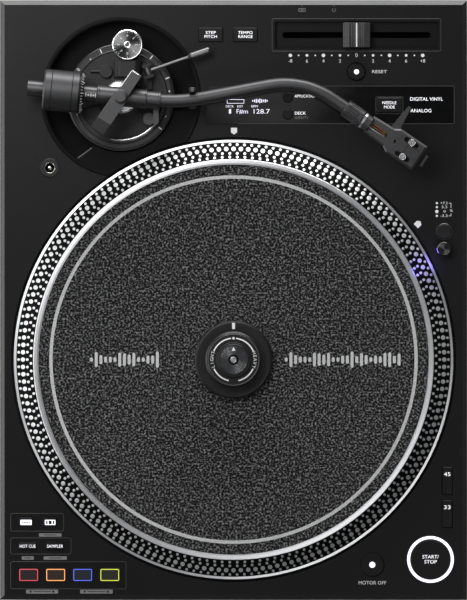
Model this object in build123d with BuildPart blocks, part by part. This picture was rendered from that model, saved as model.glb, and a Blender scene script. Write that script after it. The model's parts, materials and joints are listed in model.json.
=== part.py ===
from build123d import *
import os
from math import cos, sin, radians

# A direct-drive record player in the upright ("battle") layout, in millimetres.
# +X is to the player's right, +Y away from the player, +Z up. The origin is on the floor,
# under the middle of the case. The platter turns about Z; the tonearm pivots at the top left.

os.makedirs("parts", exist_ok=True)

# ---- driving dimensions -------------------------------------------------------------
CASE_W, CASE_D = 353.0, 453.0          # case, left to right and front to back
EDGE_BEVEL = 3.4                       # sloped edge all round the deck
SKIRT = 5.0                            # wall of the cast top
COVER_Z = 24.0                         # underside of the bottom cover: feet stand below
PLINTH_Z = 36.0                        # cover to plinth
SKIRT_Z = 62.0                         # plinth to cast top
DECK_Z = 104.0                         # playing deck
PLATE = 6.0                            # thickness of the deck plate
DISH_FLOOR = 5.0                       # thickness of the platter dish's floor
MOTOR_HOLE_R = 61.0                    # hole in the dish for the motor
INLAY = 2.0                            # depth of the pockets for flush plastic inlays

PLATTER = (0.0, -45.0)                 # spindle axis
PLATTER_R = 166.1
RECESS_R = 168.2                       # shallow dish that the platter sits in
RECESS_Z = 97.0
PLATTER_TOP = 117.0                    # plate that carries the slipmat
SLIPMAT_R, SLIPMAT_T = 147.3, 1.5
SPINDLE_R = 3.6                        # 7.2 mm record spindle
SHAFT_R = 5.0                          # motor shaft
RUNNING = 0.05                         # radial clearance of a shaft in its bearing

PIVOT = (-85.0, 153.2)                 # tonearm's vertical axis, 215 mm from the spindle
WELL_R = 60.4                          # round well around the tonearm base
WELL_FLOOR = 82.0
RING_IN, RING_OUT = 35.3, 40.5         # height adjusting ring
RING_TOP = 108.0
BASE_TOP = 106.0                       # tonearm base plate
ARM_Z = 137.0                          # arm tube axis
ARM_ANGLE = -5.5                       # direction of the straight part of the arm, from +X
TUBE_R, TUBE_WALL = 4.9, 0.9
FIRST_BEND = (126.0, 16.0)             # radius and turn, degrees, to the left
MIDDLE_RUN = 51.4
SECOND_BEND = (64.0, -44.7)            # to the right, which gives the headshell its offset
SHELL_ANGLE = ARM_ANGLE + FIRST_BEND[1] + SECOND_BEND[1]
BEND_START = 26.3                      # pivot to the first bend
NUT_START, NUT_LENGTH = 11.9, 15.2     # locking nut, measured from the end of the second bend
SHELL_START = NUT_START + NUT_LENGTH + 0.3
YOKE_ANGLE = SHELL_ANGLE + 90.0        # tilt axis, square to the headshell

KEY_GAP = 0.3                          # around every push button
KEY_LOW = 95.5                         # underside of the buttons, inside the case
KEY_TOP = DECK_Z + 0.9

# push buttons: name, centre, width and depth, corner radius
RECTANGLE_KEYS = {
    "key_step_pitch": ((-17.2, 200.5), (18.2, 10.7), 1.0),
    "key_tempo_range": ((9.0, 200.5), (18.2, 10.7), 1.0),
    "key_needle_mode": ((117.8, 147.3), (19.1, 11.3), 1.0),
    "key_speed_45": ((161.6, -136.7), (7.9, 20.8), 1.0),
    "key_speed_33": ((161.6, -161.8), (7.9, 20.8), 1.0),
    "key_shift": ((-156.8, -167.6), (10.1, 6.0), 0.8),
    "key_page": ((-138.6, -167.6), (10.1, 6.0), 0.8),
    "key_mode_left": ((-155.6, -186.2), (13.2, 5.4), 0.8),
    "key_mode_right": ((-134.9, -186.2), (13.2, 5.4), 0.8),
    "pad_1": ((-154.8, -207.8), (14.9, 9.4), 1.2),
    "pad_2": ((-134.4, -207.8), (14.9, 9.4), 1.2),
    "pad_3": ((-114.0, -207.8), (14.9, 9.4), 1.2),
    "pad_4": ((-93.5, -207.8), (14.9, 9.4), 1.2),
}
# round push buttons: name, centre, radius
ROUND_KEYS = {
    "key_start_stop": ((148.9, -196.1), 14.5),
    "key_motor_off": ((104.9, -200.1), 9.0),
    "key_reset": ((93.0, 172.5), 6.4),
    "key_display_upper": ((41.1, 153.1), 3.8),
    "key_display_lower": ((41.1, 140.3), 3.8),
}
# plastic inlays around the pads: centre, width and depth
PAD_BEZELS = [
    ((-148.4, -168.1), (40.4, 13.8)),
    ((-145.6, -186.0), (46.1, 12.6)),
    ((-124.8, -208.1), (87.6, 21.0)),
]
START_XY = ROUND_KEYS["key_start_stop"][0]
START_RING = (15.4, 17.7)              # lit ring round the start button
FADER_XY = (93.0, 200.3)
FADER_SIZE = (128.0, 25.0)
FADER_SLOT = (112.0, 4.5)
TROUGH_OUT = (FADER_SIZE[0] - 2.6, FADER_SIZE[1] - 2.6)
TROUGH_IN = (FADER_SIZE[0] - 4.4, FADER_SIZE[1] - 4.4)
LAMP_PLATE_XY, LAMP_PLATE = (159.3, 45.7), (13.6, 25.8)
TARGET_XY, TARGET_R = (159.2, 51.7), 5.4
STROBE_XY, STROBE_R = (159.0, 38.8), 5.2
STAND_XY, STAND_R, STAND_BORE = (-138.9, 99.9), 7.2, 4.1

FEET = (276.0, 376.0)                  # spacing of the four feet
FOOT_R, FOOT_H, STUD_R = 29.0, 16.0, 4.0
SCREW_R, SCREW_HEAD_R, SCREW_HEAD_H = 1.6, 3.4, 2.5
COVER_SCREWS = (310.0, 120.0, 2, 3)    # spacing and count, across and along the case

# rear terminals, on the +Y face: x positions and height
REAR_Y = CASE_D / 2
TERMINAL_Z = 83.0
RCA_BAY = (-12.0, 90.0, 26.0)          # centre x, width and height of the recessed bay
RCA_X = [-48.0, -34.0, -14.0, 0.0]
RCA_R = 4.15
EARTH_X = 20.0
USB_X, POWER_X, INLET_X = 51.8, 75.9, 112.0


def along(distance, angle, start=(0.0, 0.0)):
    """The point at a distance from start, in the direction of an angle in degrees."""
    return (start[0] + distance * cos(radians(angle)), start[1] + distance * sin(radians(angle)))


def save(piece, name):
    """Name a finished sub-part and write it."""
    piece.part.label = name
    export_step(piece.part, f"parts/{name}.step")


def key_holes(gap):
    """The outlines of all push buttons, grown by a gap, in the current sketch."""
    for centre, (width, depth), corner in RECTANGLE_KEYS.values():
        with Locations(centre):
            RectangleRounded(width + 2 * gap, depth + 2 * gap, corner + gap)
    for centre, radius in ROUND_KEYS.values():
        with Locations(centre):
            Circle(radius + gap)


def display_outline(grow=0.0):
    """The glossy display strip, whose left end leans."""
    low, high, right = 132.8 - grow, 162.2 + grow, 167.3 + grow
    Polygon((-21.2 - grow, low), (right, low), (right, high), (-19.1 - grow, high), align=None)


# ---- case ---------------------------------------------------------------------------
# Cast top: a plate with a bevelled edge and a skirt, a dish for the platter, a round opening
# for the tonearm well, pockets for the inlays and a hole for every control.
with BuildPart() as top_deck:
    with BuildSketch(Plane.XY.offset(SKIRT_Z)):
        Rectangle(CASE_W, CASE_D)
    extrude(amount=DECK_Z - SKIRT_Z)
    chamfer(top_deck.faces().sort_by(Axis.Z)[-1].edges(), EDGE_BEVEL)
    with BuildSketch(Plane.XY.offset(SKIRT_Z)):
        Rectangle(CASE_W - 2 * SKIRT, CASE_D - 2 * SKIRT)
    extrude(amount=DECK_Z - PLATE - SKIRT_Z, mode=Mode.SUBTRACT)
    with BuildSketch(Plane.XY.offset(RECESS_Z - DISH_FLOOR)):
        with Locations(PLATTER):
            Circle(RECESS_R + 4)
    extrude(amount=DISH_FLOOR + 2)
    with BuildSketch(Plane.XY.offset(RECESS_Z)):
        with Locations(PLATTER):
            Circle(RECESS_R)
    extrude(amount=20, mode=Mode.SUBTRACT)
    with BuildSketch(Plane.XY.offset(SKIRT_Z)):
        with Locations(PLATTER):
            Circle(MOTOR_HOLE_R)
        with Locations(PIVOT):
            Circle(WELL_R + 0.2)
        with Locations(FADER_XY):
            RectangleRounded(FADER_SIZE[0] - 2.4, FADER_SIZE[1] - 2.4, 2.8)
        with Locations(LAMP_PLATE_XY):
            SlotOverall(LAMP_PLATE[1] - 1, LAMP_PLATE[0] - 1, rotation=90)
        with Locations(STAND_XY):
            Circle(STAND_R - 1.5)
        key_holes(KEY_GAP)
    extrude(amount=60, mode=Mode.SUBTRACT)
    with BuildSketch(Plane.XY.offset(DECK_Z - INLAY)):
        display_outline()
        with Locations(FADER_XY):
            RectangleRounded(*FADER_SIZE, 3.8)
        with Locations(LAMP_PLATE_XY):
            SlotOverall(LAMP_PLATE[1], LAMP_PLATE[0], rotation=90)
        with Locations(STAND_XY):
            Circle(STAND_R)
        with Locations(START_XY):
            Circle(START_RING[1])
        with Locations(ROUND_KEYS["key_reset"][0]):
            Circle(7.4)
        for centre, size in PAD_BEZELS:
            with Locations(centre):
                RectangleRounded(*size, 1.5)
    extrude(amount=10, mode=Mode.SUBTRACT)
    # openings in the rear skirt for the terminals
    with BuildSketch(Plane.XZ.offset(-REAR_Y)):
        with Locations((RCA_BAY[0], TERMINAL_Z)):
            Rectangle(RCA_BAY[1], RCA_BAY[2])
        with Locations((USB_X, TERMINAL_Z)):
            Rectangle(14, 13)
        with Locations((POWER_X, TERMINAL_Z)):
            Rectangle(12, 12)
        with Locations((INLET_X, TERMINAL_Z)):
            Rectangle(30, 22)
    extrude(amount=SKIRT + 1, mode=Mode.SUBTRACT)
save(top_deck, "top_deck")

# Plinth: a heavy moulded tray between the cast top and the bottom cover.
with BuildPart() as plinth:
    with BuildSketch(Plane.XY.offset(PLINTH_Z)):
        RectangleRounded(CASE_W - 4, CASE_D - 4, 3)
    extrude(amount=SKIRT_Z - PLINTH_Z)
    with BuildSketch(Plane.XY.offset(PLINTH_Z + 5)):
        Rectangle(CASE_W - 20, CASE_D - 20)
    extrude(amount=SKIRT_Z - PLINTH_Z - 5, mode=Mode.SUBTRACT)
    with BuildSketch(Plane.XY.offset(PLINTH_Z)):
        with GridLocations(*COVER_SCREWS):
            Circle(SCREW_R)
    extrude(amount=5, mode=Mode.SUBTRACT)
save(plinth, "plinth")

HEAD_Z = COVER_Z + 1.5                 # the screw heads are sunk in the cover

# Rubber bottom cover with counterbored screw holes and threaded holes for the feet.
with BuildPart() as bottom_cover:
    with BuildSketch(Plane.XY.offset(COVER_Z)):
        RectangleRounded(CASE_W - 8, CASE_D - 8, 5)
    extrude(amount=PLINTH_Z - COVER_Z)
    fillet(bottom_cover.faces().sort_by(Axis.Z)[0].edges(), 4)
    with BuildSketch(Plane.XY.offset(COVER_Z)):
        with GridLocations(*COVER_SCREWS):
            Circle(SCREW_R + 0.4)
        with GridLocations(*FEET, 2, 2):
            Circle(STUD_R)
    extrude(amount=PLINTH_Z - COVER_Z, mode=Mode.SUBTRACT)
    with BuildSketch(Plane.XY.offset(COVER_Z)):
        with GridLocations(*COVER_SCREWS):
            Circle(SCREW_HEAD_R + 0.2)
    extrude(amount=HEAD_Z + SCREW_HEAD_H - COVER_Z, mode=Mode.SUBTRACT)
save(bottom_cover, "bottom_cover")

# Six screws that hold the bottom cover to the plinth.
with BuildPart() as cover_screws:
    with BuildSketch(Plane.XY.offset(HEAD_Z)):
        with GridLocations(*COVER_SCREWS):
            Circle(SCREW_HEAD_R)
    extrude(amount=SCREW_HEAD_H)
    with BuildSketch(Plane.XY.offset(HEAD_Z + SCREW_HEAD_H)):
        with GridLocations(*COVER_SCREWS):
            Circle(SCREW_R)
    extrude(amount=13)
    with BuildSketch(Plane.XY.offset(HEAD_Z)):
        with GridLocations(*COVER_SCREWS):
            Rectangle(3.6, 0.9)
            Rectangle(0.9, 3.6)
    extrude(amount=1.4, mode=Mode.SUBTRACT)
save(cover_screws, "cover_screws")

# Four damped feet, each with its threaded stud in the bottom cover.
with BuildPart() as feet:
    with BuildSketch(Plane.XY):
        with GridLocations(*FEET, 2, 2):
            Circle(FOOT_R)
    extrude(amount=FOOT_H, taper=4)
    with BuildSketch(Plane.XY.offset(FOOT_H)):
        with GridLocations(*FEET, 2, 2):
            Circle(FOOT_R - 5)
    extrude(amount=COVER_Z - FOOT_H)
    with BuildSketch(Plane.XY.offset(COVER_Z)):
        with GridLocations(*FEET, 2, 2):
            Circle(STUD_R)
    extrude(amount=10)
save(feet, "feet")

# ---- flush plastic inlays -------------------------------------------------------------
# Pitch fader trough, three pad frames, lamp plate and stylus-shell stand.
with BuildPart() as deck_bezels:
    with BuildSketch(Plane.XY.offset(DECK_Z - INLAY)):
        with Locations(FADER_XY):
            RectangleRounded(*FADER_SIZE, 3.8)
            RectangleRounded(*TROUGH_IN, 1.9, mode=Mode.SUBTRACT)
        for centre, size in PAD_BEZELS:
            with Locations(centre):
                RectangleRounded(*size, 1.5)
        with Locations(LAMP_PLATE_XY):
            SlotOverall(LAMP_PLATE[1], LAMP_PLATE[0], rotation=90)
    extrude(amount=INLAY + 0.3)
    with BuildSketch(Plane.XY.offset(DECK_Z - PLATE)):
        with Locations(FADER_XY):
            RectangleRounded(*TROUGH_OUT, 2.8)
    extrude(amount=PLATE)
    with BuildSketch(Plane.XY.offset(DECK_Z - PLATE + 1.5)):
        with Locations(FADER_XY):
            RectangleRounded(*TROUGH_IN, 1.9)
    extrude(amount=PLATE, mode=Mode.SUBTRACT)
    with BuildSketch(Plane.XY.offset(DECK_Z - PLATE - 1)):
        with Locations(FADER_XY):
            SlotOverall(*FADER_SLOT)
        with Locations(TARGET_XY):
            Circle(TARGET_R + KEY_GAP)
        with Locations(STROBE_XY):
            Circle(STROBE_R)
        key_holes(KEY_GAP)
    extrude(amount=PLATE + 2, mode=Mode.SUBTRACT)
save(deck_bezels, "deck_bezels")

# Socket that holds a spare headshell.
with BuildPart() as shell_stand:
    with BuildSketch(Plane.XY.offset(DECK_Z - INLAY)):
        with Locations(STAND_XY):
            Circle(STAND_R)
    extrude(amount=INLAY + 0.8)
    fillet(shell_stand.faces().sort_by(Axis.Z)[-1].edges(), 0.6)
    with BuildSketch(Plane.XY.offset(DECK_Z - 22)):
        with Locations(STAND_XY):
            Circle(STAND_R - 1.6)
    extrude(amount=20)
    with BuildSketch(Plane.XY.offset(DECK_Z - 20)):
        with Locations(STAND_XY):
            Circle(STAND_BORE)
    extrude(amount=21, mode=Mode.SUBTRACT)
save(shell_stand, "shell_stand")

# Smoked window over the display, with holes for its three buttons.
with BuildPart() as display_panel:
    with BuildSketch(Plane.XY.offset(DECK_Z - INLAY)):
        display_outline(-0.15)
        for name in ("key_display_upper", "key_display_lower"):
            centre, radius = ROUND_KEYS[name]
            with Locations(centre):
                Circle(radius + KEY_GAP, mode=Mode.SUBTRACT)
        centre, (width, depth), corner = RECTANGLE_KEYS["key_needle_mode"]
        with Locations(centre):
            RectangleRounded(width + 2 * KEY_GAP, depth + 2 * KEY_GAP, corner, mode=Mode.SUBTRACT)
    extrude(amount=INLAY + 0.2)
save(display_panel, "display_panel")

# Lit ring round the start button.
with BuildPart() as start_ring:
    with BuildSketch(Plane.XY.offset(DECK_Z - INLAY)):
        with Locations(START_XY):
            Circle(START_RING[1] - 0.05)
            Circle(START_RING[0], mode=Mode.SUBTRACT)
    extrude(amount=INLAY + 0.5)
save(start_ring, "start_ring")

# Strobe lamp: a low tower with a turned cap, beside the platter's dots.
with BuildPart() as strobe_lamp:
    with BuildSketch(Plane.XY.offset(DECK_Z - 10)):
        with Locations(STROBE_XY):
            Circle(STROBE_R - 0.05)
    extrude(amount=20)
    fillet(strobe_lamp.faces().sort_by(Axis.Z)[-1].edges(), 0.8)
save(strobe_lamp, "strobe_lamp")

# ---- push buttons ---------------------------------------------------------------------
for name, (centre, (width, depth), corner) in RECTANGLE_KEYS.items():
    with BuildPart() as key:
        with BuildSketch(Plane.XY.offset(KEY_LOW)):
            with Locations(centre):
                RectangleRounded(width, depth, corner)
        extrude(amount=KEY_TOP - KEY_LOW)
        chamfer(key.faces().sort_by(Axis.Z)[-1].edges(), 0.4)
    save(key, name)

for name, (centre, radius) in ROUND_KEYS.items():
    with BuildPart() as key:
        with BuildSketch(Plane.XY.offset(KEY_LOW)):
            with Locations(centre):
                Circle(radius)
        extrude(amount=KEY_TOP - KEY_LOW)
        fillet(key.faces().sort_by(Axis.Z)[-1].edges(), 0.6)
    save(key, name)

# Pitch fader cap on its flat stem: ribs run across the travel.
CAP_W, CAP_D, CAP_LOW, CAP_TOP = 20.4, 18.6, DECK_Z - 2.5, DECK_Z + 7.0
with BuildPart() as pitch_slider:
    with BuildSketch(Plane.XY.offset(CAP_LOW)):
        with Locations(FADER_XY):
            RectangleRounded(CAP_W, CAP_D, 1.2)
    extrude(amount=CAP_TOP - CAP_LOW)
    chamfer(pitch_slider.faces().sort_by(Axis.Z)[-1].edges(), 1.2)
    with BuildSketch(Plane.XY.offset(CAP_TOP - 1.4)):
        with Locations((FADER_XY[0] - 6.6, FADER_XY[1]), (FADER_XY[0] + 6.6, FADER_XY[1])):
            with GridLocations(2.4, 1, 3, 1):
                Rectangle(1.1, CAP_D)
    extrude(amount=3, mode=Mode.SUBTRACT)
    with BuildSketch(Plane.XY.offset(DECK_Z - 12)):
        with Locations(FADER_XY):
            Rectangle(6, 3.4)
    extrude(amount=CAP_LOW - DECK_Z + 12)
save(pitch_slider, "pitch_slider")

# Target light: a tube that rises out of the lamp plate, with a lens window near its top.
with BuildPart() as target_light:
    with BuildSketch(Plane.XY.offset(DECK_Z - 32)):
        with Locations(TARGET_XY):
            Circle(TARGET_R)
    extrude(amount=33.5)
    fillet(target_light.faces().sort_by(Axis.Z)[-1].edges(), 0.6)
    with BuildSketch(Plane.XY.offset(DECK_Z - 6)):
        with Locations((TARGET_XY[0] - TARGET_R, TARGET_XY[1])):
            Rectangle(2, 6)
    extrude(amount=5, mode=Mode.SUBTRACT)
save(target_light, "target_light")

# ---- rear terminals -------------------------------------------------------------------
# Every terminal faces +Y. The phono jacks and the earth post stand in a recessed bay.
BAY_DEPTH = 12.0
with BuildPart() as rear_sockets:
    with BuildSketch(Plane.XZ.offset(-(REAR_Y - 1))):
        with Locations((RCA_BAY[0], TERMINAL_Z)):
            Rectangle(RCA_BAY[1], RCA_BAY[2])
    extrude(amount=BAY_DEPTH + 1)
    with BuildSketch(Plane.XZ.offset(-(REAR_Y - 1))):
        with Locations((RCA_BAY[0], TERMINAL_Z)):
            Rectangle(RCA_BAY[1] - 3, RCA_BAY[2] - 3)
    extrude(amount=BAY_DEPTH - 1, mode=Mode.SUBTRACT)
    with BuildSketch(Plane.XZ.offset(-(REAR_Y - 2))):
        with Locations(*[(x, TERMINAL_Z) for x in RCA_X]):
            Circle(RCA_R)
    extrude(amount=BAY_DEPTH - 2)
    with BuildSketch(Plane.XZ.offset(-(REAR_Y - 2))):
        with Locations(*[(x, TERMINAL_Z) for x in RCA_X]):
            Circle(1.6)
    extrude(amount=8, mode=Mode.SUBTRACT)
    with BuildSketch(Plane.XZ.offset(-(REAR_Y - 3))):
        with Locations((EARTH_X, TERMINAL_Z)):
            RegularPolygon(3.6, 12)
    extrude(amount=BAY_DEPTH - 3)
    # USB socket: a metal shell with its tongue
    with BuildSketch(Plane.XZ.offset(-(REAR_Y - 1))):
        with Locations((USB_X, TERMINAL_Z)):
            Rectangle(14, 13)
            Rectangle(8.6, 7.9, mode=Mode.SUBTRACT)
            Rectangle(5.6, 3.2)
    extrude(amount=10)
    with BuildSketch(Plane.XZ.offset(-(REAR_Y - 11))):
        with Locations((USB_X, TERMINAL_Z)):
            Rectangle(14, 13)
    extrude(amount=3)
    # mains inlet: a deep pocket with three blades
    with BuildSketch(Plane.XZ.offset(-(REAR_Y - 1))):
        with Locations((INLET_X, TERMINAL_Z)):
            Rectangle(30, 22)
            RectangleRounded(24.5, 16.5, 2, mode=Mode.SUBTRACT)
        with Locations((INLET_X - 7, TERMINAL_Z - 2), (INLET_X, TERMINAL_Z + 2),
                       (INLET_X + 7, TERMINAL_Z - 2)):
            Rectangle(2, 4)
    extrude(amount=16)
    with BuildSketch(Plane.XZ.offset(-(REAR_Y - 17))):
        with Locations((INLET_X, TERMINAL_Z)):
            Rectangle(30, 22)
    extrude(amount=4)
save(rear_sockets, "rear_sockets")

# Square power button in the rear skirt.
with BuildPart() as power_switch:
    with BuildSketch(Plane.XZ.offset(-(REAR_Y - 0.2))):
        with Locations((POWER_X, TERMINAL_Z)):
            RectangleRounded(11.4, 11.4, 1)
    extrude(amount=14)
save(power_switch, "power_switch")

# ---- motor and platter ----------------------------------------------------------------
SLEEVE_R, SLEEVE_LOW, SHAFT_LOW = 9.0, 58.0, 60.0
MAGNET_R, MAGNET_IN, TEETH = 58.0, 49.0, 12
# Stator: a steel base plate under the dish, twelve wound teeth and the driver board.
with BuildPart() as motor_stator:
    with BuildSketch(Plane.XY.offset(RECESS_Z - 9)):
        with Locations(PLATTER):
            Circle(70)
            Circle(SLEEVE_R + RUNNING, mode=Mode.SUBTRACT)
    extrude(amount=4)
    with BuildSketch(Plane.XY.offset(RECESS_Z - 5)):
        with Locations(PLATTER):
            Circle(30)
            Circle(24, mode=Mode.SUBTRACT)
    extrude(amount=15)
    with BuildSketch(Plane.XY.offset(RECESS_Z)):
        with Locations(PLATTER):
            with PolarLocations(37, TEETH):
                Rectangle(18, 9)
    extrude(amount=9)
    with BuildSketch(Plane.XY.offset(PLINTH_Z + 10)):
        with Locations((0, 120)):
            Rectangle(230, 120)
    extrude(amount=1.6)
    with BuildSketch(Plane.XY.offset(PLINTH_Z + 5)):
        with Locations((0, 120)):
            with GridLocations(210, 100, 2, 2):
                Circle(3)
    extrude(amount=5)
save(motor_stator, "motor_stator")

# Bearing: a flanged sleeve with a closed bottom.
with BuildPart() as spindle_bearing:
    with BuildSketch(Plane.XY.offset(SLEEVE_LOW)):
        with Locations(PLATTER):
            Circle(SLEEVE_R)
    extrude(amount=RECESS_Z - SLEEVE_LOW)
    with BuildSketch(Plane.XY.offset(RECESS_Z - 12)):
        with Locations(PLATTER):
            Circle(22)
    extrude(amount=3)
    with BuildSketch(Plane.XY.offset(SHAFT_LOW)):
        with Locations(PLATTER):
            Circle(SHAFT_R + RUNNING)
    extrude(amount=50, mode=Mode.SUBTRACT)
save(spindle_bearing, "spindle_bearing")

# Platter: polished rim, black sloped band for the strobe dots, polished lip round the mat,
# and an underside hollowed between the hub and the rim, with ribs.
RIM_IN, LIP_OUT, LIP_IN = 164.2, 151.3, 148.5
with BuildPart() as platter:
    with BuildSketch(Plane.XZ):
        Polygon(
            (SHAFT_R, 98.5), (16, 98.5), (16, 112), (150, 112), (156, 106), (156, 98.8),
            (PLATTER_R, 98.8), (PLATTER_R, 104.6), (RIM_IN, 105.0), (LIP_OUT, 118.7),
            (LIP_OUT - 0.4, 119.0), (LIP_IN, 119.0), (LIP_IN, PLATTER_TOP), (SHAFT_R, PLATTER_TOP),
            align=None)
    revolve(axis=Axis.Z)
    with BuildSketch(Plane.XY.offset(106)):
        with PolarLocations(105, 12):
            Rectangle(90, 4)
    extrude(amount=6.5)
platter.part = platter.part.moved(Location((PLATTER[0], PLATTER[1], 0)))
save(platter, "platter")

# Ring magnet of the motor, with its steel yoke, under the platter.
with BuildPart() as rotor_magnet:
    with BuildSketch(Plane.XY.offset(99.5)):
        with Locations(PLATTER):
            Circle(MAGNET_R)
            Circle(MAGNET_IN, mode=Mode.SUBTRACT)
    extrude(amount=12.5)
save(rotor_magnet, "rotor_magnet")

# Spindle: motor shaft below, record spindle with a rounded tip above.
SPINDLE_TOP = 134.0
with BuildPart() as spindle:
    with BuildSketch(Plane.XY.offset(SHAFT_LOW + 0.5)):
        with Locations(PLATTER):
            Circle(SHAFT_R)
    extrude(amount=PLATTER_TOP - SHAFT_LOW - 0.5)
    with BuildSketch(Plane.XY.offset(PLATTER_TOP)):
        with Locations(PLATTER):
            Circle(SPINDLE_R)
    extrude(amount=SPINDLE_TOP - PLATTER_TOP)
    fillet(spindle.faces().sort_by(Axis.Z)[-1].edges(), 2.0)
save(spindle, "spindle")

# Slipmat: a thin felt disc that turns on the platter.
MAT_TOP = PLATTER_TOP + SLIPMAT_T
with BuildPart() as slipmat:
    with BuildSketch(Plane.XY.offset(PLATTER_TOP)):
        with Locations(PLATTER):
            Circle(SLIPMAT_R)
            Circle(SPINDLE_R + 0.1, mode=Mode.SUBTRACT)
    extrude(amount=SLIPMAT_T)
save(slipmat, "slipmat")

# Centre clamp: a weighted base on the mat and a ribbed dial over it.
CLAMP_R, DIAL_R = 29.4, 21.2
with BuildPart() as clamp_base:
    with BuildSketch(Plane.XY.offset(MAT_TOP)):
        with Locations(PLATTER):
            Circle(CLAMP_R)
    extrude(amount=7)
    fillet(clamp_base.faces().sort_by(Axis.Z)[-1].edges(), 2.0)
    with BuildSketch(Plane.XY.offset(MAT_TOP + 7)):
        with Locations(PLATTER):
            Circle(9)
    extrude(amount=6)
    with BuildSketch(Plane.XY.offset(MAT_TOP)):
        with Locations(PLATTER):
            Circle(SPINDLE_R + 0.1)
    extrude(amount=20, mode=Mode.SUBTRACT)
save(clamp_base, "clamp_base")

with BuildPart() as clamp_knob:
    with BuildSketch(Plane.XY.offset(MAT_TOP + 7.3)):
        with Locations(PLATTER):
            Circle(DIAL_R)
    extrude(amount=9)
    chamfer(clamp_knob.faces().sort_by(Axis.Z)[-1].edges(), 1.2)
    with BuildSketch(Plane.XY.offset(MAT_TOP + 16.3)):
        with Locations(PLATTER):
            Circle(13.3)
    extrude(amount=1.6)
    fillet(clamp_knob.faces().sort_by(Axis.Z)[-1].edges(), 0.6)
    with BuildSketch(Plane.XY.offset(MAT_TOP + 7.3)):
        with Locations(PLATTER):
            Circle(9 + RUNNING)
    extrude(amount=6, mode=Mode.SUBTRACT)
    with BuildSketch(Plane.XY.offset(MAT_TOP + 13)):
        with Locations(PLATTER):
            Circle(SPINDLE_R + 0.2)
    extrude(amount=6, mode=Mode.SUBTRACT)
    with BuildSketch(Plane.XY.offset(MAT_TOP + 9)):
        with Locations(PLATTER):
            with PolarLocations(DIAL_R + 0.5, 48):
                Circle(0.8)
    extrude(amount=5, mode=Mode.SUBTRACT)
save(clamp_knob, "clamp_knob")

# ---- tonearm base ---------------------------------------------------------------------
# Well: a round tub. Two thirds of it is open down to the floor; the rest is a ledge level
# with the deck, between two straight edges.
LEDGE = [along(70, -140, PIVOT), (-118.2, 107.3), (-106.9, 115.6), along(20, -120, PIVOT), PIVOT,
         along(20, -14, PIVOT), (-43.4, 142.8), (-32.4, 144.3), along(70, -8, PIVOT),
         along(95, -45, PIVOT), along(95, -100, PIVOT)]
with BuildPart() as tonearm_well:
    with BuildSketch(Plane.XY.offset(WELL_FLOOR - 4)):
        with Locations(PIVOT):
            Circle(WELL_R)
    extrude(amount=DECK_Z - WELL_FLOOR + 4)
    with BuildSketch(Plane.XY.offset(WELL_FLOOR)):
        with Locations(PIVOT):
            Circle(WELL_R - 3)
        Polygon(*LEDGE, align=None, mode=Mode.SUBTRACT)
    extrude(amount=DECK_Z - WELL_FLOOR, mode=Mode.SUBTRACT)
    with BuildSketch(Plane.XY.offset(WELL_FLOOR)):
        with Locations(PIVOT):
            Circle(RING_OUT + 1.0)
    extrude(amount=DECK_Z - WELL_FLOOR, mode=Mode.SUBTRACT)
    # hollow under the ledge, and the platter's dish cut into its edge
    with BuildSketch(Plane.XY.offset(WELL_FLOOR - 4)):
        with Locations(PIVOT):
            Circle(20.3)
    extrude(amount=5, mode=Mode.SUBTRACT)
    with BuildSketch(Plane.XY.offset(RECESS_Z)):
        with Locations(PLATTER):
            Circle(RECESS_R)
    extrude(amount=10, mode=Mode.SUBTRACT)
save(tonearm_well, "tonearm_well")

# Height ring: turns round the base, its top edge sloped for the scale.
with BuildPart() as height_ring:
    with BuildSketch(Plane.XY.offset(WELL_FLOOR + 0.3)):
        with Locations(PIVOT):
            Circle(RING_OUT)
            Circle(RING_IN, mode=Mode.SUBTRACT)
    extrude(amount=RING_TOP - WELL_FLOOR - 0.3)
    chamfer(height_ring.edges().filter_by(GeomType.CIRCLE).group_by(Axis.Z)[-1]
            .sort_by(SortBy.RADIUS)[-1], 0.8, 2.2)
save(height_ring, "height_ring")

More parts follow.
